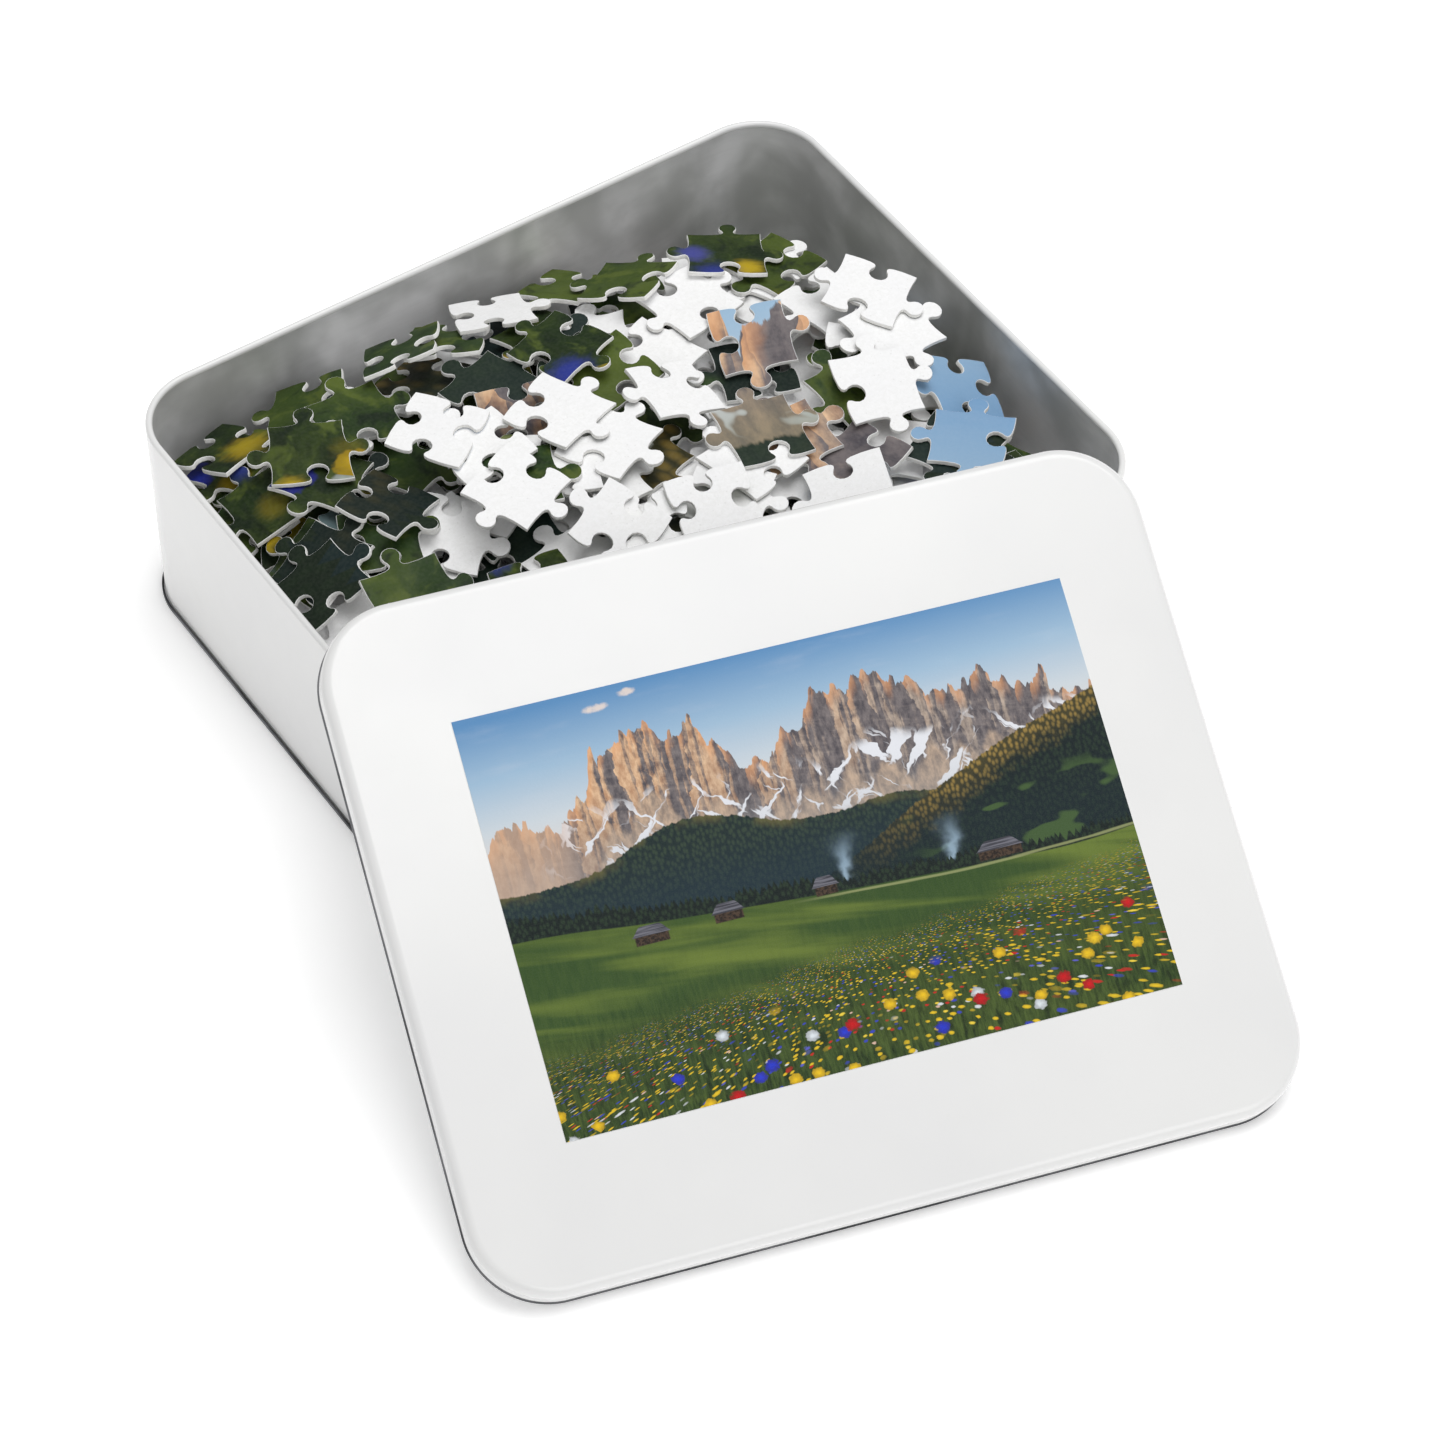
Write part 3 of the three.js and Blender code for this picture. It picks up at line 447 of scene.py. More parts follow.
def printed(name, group, rough_lo, rough_hi, linen, deepen, gloss):
    m, n, b = material(name)
    grp = n.new("ShaderNodeGroup")
    grp.node_tree = group
    uv = n.new("ShaderNodeUVMap", uv_map="picture")
    n.put(grp.inputs[0], uv.outputs[0])
    p = coords(n)
    c = grp.outputs[0]
    if deepen:  # the ink of the big print is denser in its greens
        _, high, _ = n.split(uv.outputs[0])
        c = n.mix(n.step(high, 0.58, 0.68, deepen, 0.0), c, srgb(150, 158, 120), "MULTIPLY")
    n.put(b.inputs["Base Color"], c)
    n.put(b.inputs["Roughness"], n.step(n.noise(p, 120, 3), 0.3, 0.7, rough_lo, rough_hi))
    b.inputs["Specular IOR Level"].default_value = gloss
    n.put(b.inputs["Normal"], n.bump(n.noise(p, linen, 2, 0.5), 0.12, 0.0002))
    return m


ENAMEL = enamel()
# inside tinplate: the near-white, blotchy base colour is a painted reflection of the bright surroundings; the fine
# grain is the metal's own
TIN_IN_PAINTED_REFLECTION = bare_tin("bare_tinplate_inside_painted_reflection", srgb(253, 253, 254), srgb(196, 197, 196), 0.28, 0.42, 0.15, 26)
# edge tinplate: the bare metal of the seam and the lid's curl, coloured dark grey as painted shade where they sit at
# the floor and under the lid's skirt
TIN_EDGE_PAINTED_SHADE = bare_tin("bare_tinplate_edge_painted_shade", srgb(104, 105, 108), srgb(62, 63, 66), 0.34, 0.46, 0.85, 40)
BACK = board_face()
EDGE = board_edge()
PRINT = printed("piece_print", PICTURE_SOFT, 0.46, 0.60, 900, 0.6, 0.16)
LABEL = printed("lid_print", PICTURE, 0.42, 0.52, 1400, 0.0, 0.10)


# ------------------------------------------------------------------ sheet-metal meshes
def stations(w, d, r, steps):
    out = []
    cs = [(w / 2 - r, d / 2 - r), (-w / 2 + r, d / 2 - r), (-w / 2 + r, -d / 2 + r), (w / 2 - r, -d / 2 + r)]
    for q in range(4):
        for k in range(steps + 1):
            a = (q + k / steps) * math.pi / 2
            out.append((*cs[q], math.cos(a), math.sin(a)))
    return out


def sweep(name, section, w, d, r, mats, closed=True, caps=(False, False), steps=28):
    """section: (inward offset, height, material index of the strip that starts there)."""
    st = stations(w, d, r, steps)
    n, k = len(section), len(st)
    verts = [(cx + (r - o) * ux, cy + (r - o) * uy, z) for cx, cy, ux, uy in st for o, z, _ in section]
    faces, fm = [], []
    for i in range(k):
        i2 = (i + 1) % k
        for j in range(n if closed else n - 1):
            j2 = (j + 1) % n
            faces.append((i * n + j, i2 * n + j, i2 * n + j2, i * n + j2))
            fm.append(section[j][2])
    if caps[0]:
        faces.append(tuple(i * n for i in range(k))[::-1])
        fm.append(section[0][2])
    if caps[1]:
        faces.append(tuple(i * n + n - 1 for i in range(k)))
        fm.append(section[-1][2])
    me = bpy.data.meshes.new(name)
    me.from_pydata([(x * MM, y * MM, z * MM) for x, y, z in verts], [], faces)
    for m in mats:
        me.materials.append(m)
    me.polygons.foreach_set("material_index", fm)
    me.polygons.foreach_set("use_smooth", [True] * len(faces))
    me.update()
    me.set_sharp_from_angle(angle=math.radians(38))
    o = bpy.data.objects.new(name, me)
    scene.collection.objects.link(o)
    return o


def arc(cx, cy, r, a0, a1, n, mat):
    return [(cx + r * math.cos(math.radians(a0 + (a1 - a0) * i / n)), cy + r * math.sin(math.radians(a0 + (a1 - a0) * i / n)), mat) for i in range(n + 1)]


H = TIN_H
wall_section = [(0.0, SHEET + GAP, 0), (0.0, 4.5, 0), (0.0, H - 6, 0), (0.0, H - 1.6, 0)]
wall_section += arc(0.9, H - 0.9, 0.9, 180, 0, 12, 0)
wall_section += arc(1.02, H - 1.15, 0.78, -8, -105, 7, 0)
# the inner face of the wall takes the inside tinplate, whose near-white blotchy colour is a painted reflection
wall_section += [(SHEET + 0.02, H - 2.2, 1), (SHEET, H - 2.8, 1), (SHEET, 30, 1), (SHEET, SHEET + GAP, 1)]
wall = sweep("tin_wall_sheet", wall_section, TIN_W, TIN_D, TIN_R, [ENAMEL, TIN_IN_PAINTED_REFLECTION])
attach(wall, "tin"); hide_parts("tin_wall")

S = -SEAM_OUT
# the seam round the foot takes the edge tinplate, dark grey as painted shade along the floor; the pan's floor faces
# take the inside tinplate
bottom_section = [(8.0, 0.0, 2), (6.0, 0.0, 2), (S + 0.35, 0.0, 1)] + arc(S + 0.35, 0.35, 0.35, 270, 180, 5, 1)
bottom_section += [(S, 0.7, 1), (S, SEAM_H - 0.4, 1)] + arc(S + 0.22, SEAM_H - 0.22, 0.22, 180, 90, 5, 1)
bottom_section += [(-GAP - 0.1, SEAM_H, 1), (-GAP, SEAM_H - 0.1, 1), (-GAP, SHEET, 2), (6.0, SHEET, 2), (8.0, SHEET, 2)]
bottom = sweep("tin_base_pan", bottom_section, TIN_W, TIN_D, TIN_R, [ENAMEL, TIN_EDGE_PAINTED_SHADE, TIN_IN_PAINTED_REFLECTION], closed=False, caps=(True, True))
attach(bottom, "tin"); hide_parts("tin_bottom")

# lid, in its own frame, then leaned on the rim
h = LID_H
lid_section = [(8.0, h - SHEET, 2), (5.0, h - SHEET, 2), (3.4, h - SHEET, 2)]
lid_section += [(1.0 + 2.0 - 2.0 * math.sin(a), h - SHEET - 2.0 + 2.0 * math.cos(a), 2) for a in np.linspace(0, math.pi / 2, 8)]
# the curl at the foot of the lid's skirt takes the edge tinplate, dark grey as painted shade under the lid's edge
lid_section += [(1.0, 1.5, 1)]
lid_section += arc(0.62, 0.62, 0.58, 30, -90, 7, 1)[1:] + arc(0.62, 0.62, 0.62, 270, 150, 8, 1)[1:]
lid_section += [(0.30, 1.25, 1), (0.40, 1.55, 0), (0.40, h - 3.0, 0)]
lid_section += [(0.40 + 2.6 - 2.6 * math.sin(a), h - 2.6 + 2.6 * math.cos(a), 0) for a in np.linspace(math.pi / 2, 0, 12)]
lid_section += [(3.2, h, 0), (4.2, h, 0), (7.0, h, 0), (8.0, h, 0)]
lid = sweep("lid_pressing", lid_section, LID_W, LID_D, LID_R, [ENAMEL, TIN_EDGE_PAINTED_SHADE, TIN_IN_PAINTED_REFLECTION], closed=False, caps=(True, True))
co = np.array([v.co for v in lid.data.vertices])
co[:, 1] += LID_D / 2 * MM
ct, stn = math.cos(LID_TILT), math.sin(LID_TILT)
cy, sy = math.cos(LID_YAW), math.sin(LID_YAW)
LID_ROT = np.array([[cy, -sy, 0], [sy, cy, 0], [0, 0, 1]]) @ np.array([[1, 0, 0], [0, ct, -stn], [0, stn, ct]])
world = co @ LID_ROT.T
lift0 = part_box("lid_shell")[0][2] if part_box("lid_shell") else 0.0
LID_AT = np.array([LID_X * MM, LID_Y * MM, lift0 - world[:, 2].min()])
lid.data.vertices.foreach_set("co", (world + LID_AT).ravel())
lid.data.update()
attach(lid, "lid"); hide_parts("lid_shell")

# the printed panel: thin, with a softly cut edge
def label_panel():
    nx, ny = 60, 40
    w, d = LABEL_W, LABEL_D
    z0, z1 = h + 0.04, h + 0.16
    vs, fs, uvs = [], [], []
    for j in range(ny + 1):
        for i in range(nx + 1):
            vs.append((w * (i / nx - .5), d * (j / ny - .5), z1))
    for j in range(ny):
        for i in range(nx):
            a = j * (nx + 1) + i
            fs.append((a, a + 1, a + nx + 2, a + nx + 1))
    ring = [i for i in range(nx)] + [j * (nx + 1) + nx for j in range(ny)] + [ny * (nx + 1) + i for i in range(nx, 0, -1)] + [j * (nx + 1) for j in range(ny, 0, -1)]
    base = len(vs)
    for k in ring:
        x, y, _ = vs[k]
        vs.append((x * (1 + 0.1 / w), y * (1 + 0.1 / d), z0))
    m = len(ring)
    for k in range(m):
        fs.append((ring[k], base + k, base + (k + 1) % m, ring[(k + 1) % m]))
    fs.append(tuple(base + k for k in range(m))[::-1])
    me = bpy.data.meshes.new("lid_picture_print")
    co = np.array(vs) + [LABEL_DX, LID_D / 2 + LABEL_DY, 0]
    me.from_pydata([tuple(p) for p in (co * MM) @ LID_ROT.T + LID_AT], [], fs)
    me.materials.append(LABEL)
    me.materials.append(BACK)
    me.polygons.foreach_set("material_index", [0] * (nx * ny) + [1] * (m + 1))
    uv = me.uv_layers.new(name="picture")
    vi = np.empty(len(me.loops), int)
    me.loops.foreach_get("vertex_index", vi)
    q = np.array(vs)[vi]
    uv.data.foreach_set("uv", np.c_[q[:, 0] / w + .5, q[:, 1] / d + .5].ravel())
    me.update()
    o = bpy.data.objects.new("lid_picture_print", me)
    scene.collection.objects.link(o)
    return o


label = label_panel()
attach(label, "lid"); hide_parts("lid_picture_label")

# ------------------------------------------------------------------ the jigsaw cut
FINE = [(0.0, 0.0), (0.10, -0.010), (0.22, -0.016), (0.34, -0.010), (0.395, 0.006), (0.418, 0.034), (0.410, 0.070), (0.384, 0.110), (0.371, 0.160), (0.386, 0.212),
        (0.428, 0.252), (0.476, 0.268), (0.524, 0.268), (0.572, 0.252), (0.614, 0.212), (0.629, 0.160), (0.616, 0.110), (0.590, 0.070), (0.582, 0.034), (0.605, 0.006),
        (0.66, -0.010), (0.78, -0.016), (0.90, -0.010)]
COARSE = [(0.0, 0.0), (0.39, 0.004), (0.418, 0.045), (0.376, 0.13), (0.392, 0.222), (0.46, 0.266), (0.54, 0.266), (0.608, 0.222), (0.624, 0.13), (0.582, 0.045),
          (0.61, 0.004)]


def scatter(i, j, k):
    v = math.sin(i * 12.9898 + j * 78.233 + k * 37.719 + 4.1) * 43758.5453
    return v - math.floor(v)


def cut_corner(i, j):
    dx = 0 if i in (0, COLS) else (scatter(i, j, 1) - 0.5) * 1.6
    dy = 0 if j in (0, ROWS) else (scatter(i, j, 2) - 0.5) * 1.6
    return (i * PIECE_W + dx, j * PIECE_D + dy)


def cut(kind, i, j, prof):
    a = cut_corner(i, j)
    b = cut_corner(i + 1, j) if kind == 0 else cut_corner(i, j + 1)
    if (j in (0, ROWS)) if kind == 0 else (i in (0, COLS)):
        if prof is FINE:
            return [(a[0] + (b[0] - a[0]) * t, a[1] + (b[1] - a[1]) * t) for t in (0, .25, .5, .75)]
        return [a]
    L = math.hypot(b[0] - a[0], b[1] - a[1])
    ux, uy = (b[0] - a[0]) / L, (b[1] - a[1]) / L
    nx, ny = -uy, ux
    s = 1 if scatter(i, j, 5 + kind) > 0.5 else -1
    off = (scatter(i, j, 8 + kind) - 0.5) * 0.14
    size = (0.92 + 0.2 * scatter(i, j, 11 + kind)) * PIECE_W / L
    lean = (scatter(i, j, 14 + kind) - 0.5) * 0.12
    out = []
    for x, y in prof:
        if x == 0.0:
            out.append(a)
            continue
        xx = x + off * (1 - abs(2 * x - 1))
        if 0.3 < x < 0.7:
            xx = 0.5 + off + (x - 0.5) * size + lean * max(0, y)
        yy = y * size * s
        out.append((a[0] + ux * xx * L + nx * yy * L, a[1] + uy * xx * L + ny * yy * L))
    return out


def outline(c, r, prof):
    def rev(kind, i, j):
        e = cut(kind, i, j, prof)
        b = cut_corner(i + 1, j) if kind == 0 else cut_corner(i, j + 1)
        return [b] + e[1:][::-1]
    pts = cut(0, c, r, prof) + cut(1, c + 1, r, prof) + rev(0, c, r + 1) + rev(1, c, r)
    return np.array([(x - (c + .5) * PIECE_W, y - (r + .5) * PIECE_D) for x, y in pts])


def pull_in(p, d):
    """The outline moved inwards by d."""
    e = np.roll(p, -1, 0) - p
    e /= np.linalg.norm(e, axis=1)[:, None] + 1e-9
    n = np.c_[-e[:, 1], e[:, 0]]
    m = n + np.roll(n, 1, 0)
    k = (m * m).sum(1) / 2
    return p + m / np.maximum(k, 0.7)[:, None] * d


# rings from the back to the printed face: inward offset, height
RINGS = [(0.40, 0.0), (0.08, 0.0), (0.0, 0.08), (0.0, PIECE_T - 0.26), (0.05, PIECE_T - 0.10), (0.15, PIECE_T - 0.02), (0.34, PIECE_T)]
RING_MAT = [2, 2, 1, 1, 2, 0]
PLAIN = [(0.0, 0.0), (0.0, PIECE_T)]


def piece_arrays(c, r, x, y, z, turn, face, a, b, fine):
    o = outline(c, r, FINE if fine else COARSE)
    rings = RINGS if fine else PLAIN
    mats = RING_MAT if fine else [1]
    n = len(o)
    v = np.vstack([np.c_[pull_in(o, d) if d else o, np.full(n, zz)] for d, zz in rings])
    uv = np.c_[(v[:, 0] + (c + .5) * PIECE_W) / (COLS * PIECE_W), (v[:, 1] + (r + .5) * PIECE_D) / (ROWS * PIECE_D)]
    faces, fm = [], []
    for k in range(len(rings) - 1):
        for i in range(n):
            i2 = (i + 1) % n
            faces.append((k * n + i, k * n + i2, (k + 1) * n + i2, (k + 1) * n + i))
            fm.append(mats[k])
    faces.append(tuple(range(n))[::-1]); fm.append(2)
    faces.append(tuple((len(rings) - 1) * n + i for i in range(n))); fm.append(0)
    if fine:  # pieces are pressed board: a very slight dish
        rr = (v[:, 0] ** 2 + v[:, 1] ** 2)
        v[:, 2] += (scatter(c, r, 30) - 0.5) * 0.22 * (rr / 150.0 - 0.5) * 0.6
    if face < 0:
        v = np.c_[v[:, 0], -v[:, 1], PIECE_T - v[:, 2]]
    nrm = Vector((-a, -b, 1)).normalized()
    R = Vector((0, 0, 1)).rotation_difference(nrm).to_matrix() @ Matrix.Rotation(turn, 3, "Z")
    w = v @ np.array(R).T + [x, y, z]
    return w * MM, faces, fm, uv


def pieces_object(name, rows):
    V, F, M, U, base = [], [], [], [], 0
    for row in rows:
        v, f, m, uv = piece_arrays(*row)
        V.append(v); U.append(uv); M += m
        F += [tuple(i + base for i in t) for t in f]
        base += len(v)
    V, U = np.vstack(V), np.vstack(U)
    me = bpy.data.meshes.new(name)
    me.from_pydata(V.tolist(), [], F)
    for m in (PRINT, EDGE, BACK):
        me.materials.append(m)
    me.polygons.foreach_set("material_index", M)
    me.polygons.foreach_set("use_smooth", [True] * len(F))
    uv = me.uv_layers.new(name="picture")
    vi = np.empty(len(me.loops), int)
    me.loops.foreach_get("vertex_index", vi)
    uv.data.foreach_set("uv", U[vi].ravel())
    me.update()
    me.set_sharp_from_angle(angle=math.radians(32))
    o = bpy.data.objects.new(name, me)
    scene.collection.objects.link(o)
    return o


def piece_name(c, r):
    ends = (c in (0, COLS - 1)) + (r in (0, ROWS - 1))
    return "%s_piece_r%02d_c%02d" % (["inner", "edge", "corner"][ends], r + 1, c + 1)


# column, row, x, y, z, turn, face, slope along x, slope along y, seen from outside or not
TOP_PIECES = [
    (16,9,-61.05,-34.91,50.37,2.7532,-1,0.0812,-0.0048,1),
    (9,8,-68.4,-64.1,49.44,1.2515,-1,-0.0278,0.2485,1),
    (15,10,-81.89,-7.68,49.26,1.2907,-1,0.3631,-0.1245,1),
    (29,1,-51.95,3.17,53.35,5.3853,-1,0.1161,0.0913,1),
    (17,9,-77.22,-34.67,50.53,2.5943,1,0.1889,-0.037,1),
    (6,8,-45.35,-52.21,52.93,4.7613,-1,0.0652,0.0249,1),
    (29,0,-81.08,40.54,49.46,6.2579,1,0.2961,-0.0491,1),
    (8,1,10.31,-48.1,52.76,0.1298,-1,-0.0885,0.0757,1),
    (20,1,71.32,-61.92,51.09,1.7335,1,-0.1821,0.348,1),
    (3,5,-55.33,66.48,47.38,0.9974,1,0.2256,-0.42,1),
    (2,1,-80.26,64.23,46.58,0.3348,1,0.0452,-0.42,1),
    (28,7,8.02,23.08,59.05,0.1001,1,0.0684,0.0901,1),
    (21,19,81.81,-25.43,51.77,2.8586,1,-0.42,0.2983,1),
    (5,10,65.64,-45.22,56.87,0.477,1,-0.0533,-0.0383,1),
    (21,16,44.01,-35.17,56.2,0.2508,1,0.2367,-0.1082,1),
    (8,17,33.84,-18.71,55.87,-0.1238,1,0.1162,0.0063,1),
    (5,1,9.95,-27.22,56.65,0.7545,-1,-0.0294,0.07,1),
    (16,2,-8.18,-0.63,63.23,0.4577,-1,0.0021,-0.0072,1),
    (25,3,20.62,-21.39,58.21,0.222,-1,-0.0453,0.055,1),
    (24,7,-67.56,10.66,54.37,-0.36,1,0.0681,0.0553,1),
    (19,9,-83.08,12.41,52.94,3.4537,1,0.42,-0.0744,1),
    (14,1,-68.65,36.98,53.97,0.607,1,-0.0685,-0.0228,1),
    (19,7,-32.96,1.51,63.16,-0.4194,1,0.0021,-0.0072,1),
    (21,2,-35.71,14.38,64.57,0.0786,-1,0.0021,-0.0072,1),
    (5,2,-13.69,-28.34,58.89,-0.318,-1,0.096,0.3532,1),
    (8,9,-87,5.82,53.39,4.7033,1,0.42,-0.0744,1),
    (25,7,-17.52,58.73,54.9,-0.6602,1,-0.1088,-0.42,1),
    (27,12,40.33,36.06,55.38,0.1875,-1,-0.0557,-0.0126,1),
    (6,1,75.07,-4.69,60.16,4.8177,-1,-0.0897,0.0731,1),
    (29,7,22.39,65.86,46.16,0.4648,1,-0.1718,-0.42,1),
    (12,5,-51.23,48.14,54.93,-0.0945,1,-0.0209,0.0185,1),
    (2,7,-30.44,60.03,57.36,1.0861,1,0.1312,-0.6,1),
    (10,18,-2.6,62.17,53.39,4.3441,-1,-0.1518,-0.42,1),
    (13,6,32.51,51.64,54.68,0.6067,1,0.0095,-0.42,1),
    (1,3,58.28,45.43,54.7,-0.5512,1,-0.1781,-0.1596,1),
    (6,17,45.83,14.57,57.16,-0.3411,1,0.1425,0.1076,1),
    (12,1,76.36,7.62,62.45,0.6081,-1,-0.0897,0.0731,1),
    (16,12,27.36,-15.96,59.71,-0.1906,1,-0.0453,0.055,1),
    (4,4,16.32,6.7,61.44,-0.1149,-1,-0.3269,0.0248,1),
    (7,8,-13.74,13.37,65.4,0.4218,-1,-0.0628,-0.0122,1),
    (1,18,-42.04,23.83,65.98,0.6008,-1,0.0021,-0.0072,1),
    (23,1,-68.32,42.98,56.51,-0.4297,1,0.0102,0.0159,1),
    (18,9,-62.45,15.64,58.67,0.432,1,-0.2117,-0.0744,1),
    (14,12,-35.9,-2.69,65.5,1.9216,-1,0.0021,0.0962,1),
    (6,5,-20.26,-24.21,61.29,0.4087,-1,0.096,0.3532,1),
    (27,7,2.9,-31.72,60.49,2.9358,-1,0.0016,0.3514,1),
    (3,20,35.61,-43.8,57.27,1.2205,-1,0.2367,0.0721,1),
    (27,19,69.21,-46.13,58.22,-0.7948,1,-0.0533,-0.0383,1),
    (9,16,60.19,-20.03,60.72,-0.3259,-1,0.0645,0.1502,1),
    (4,6,-71.78,-12.98,56.2,4.6777,1,-0.0348,0.3366,1),
    (17,1,-44.19,-25.05,53.36,4.5242,1,0.0899,0.0045,1),
    (7,3,1.36,35.57,61.74,0.2976,1,0.0614,-0.1049,1),
    (29,20,-0.05,-64.25,51.42,2.9534,1,0.072,0.4427,1),
    (7,9,46.84,-68.34,52.25,4.7662,-1,0.0274,0.5,1),
]
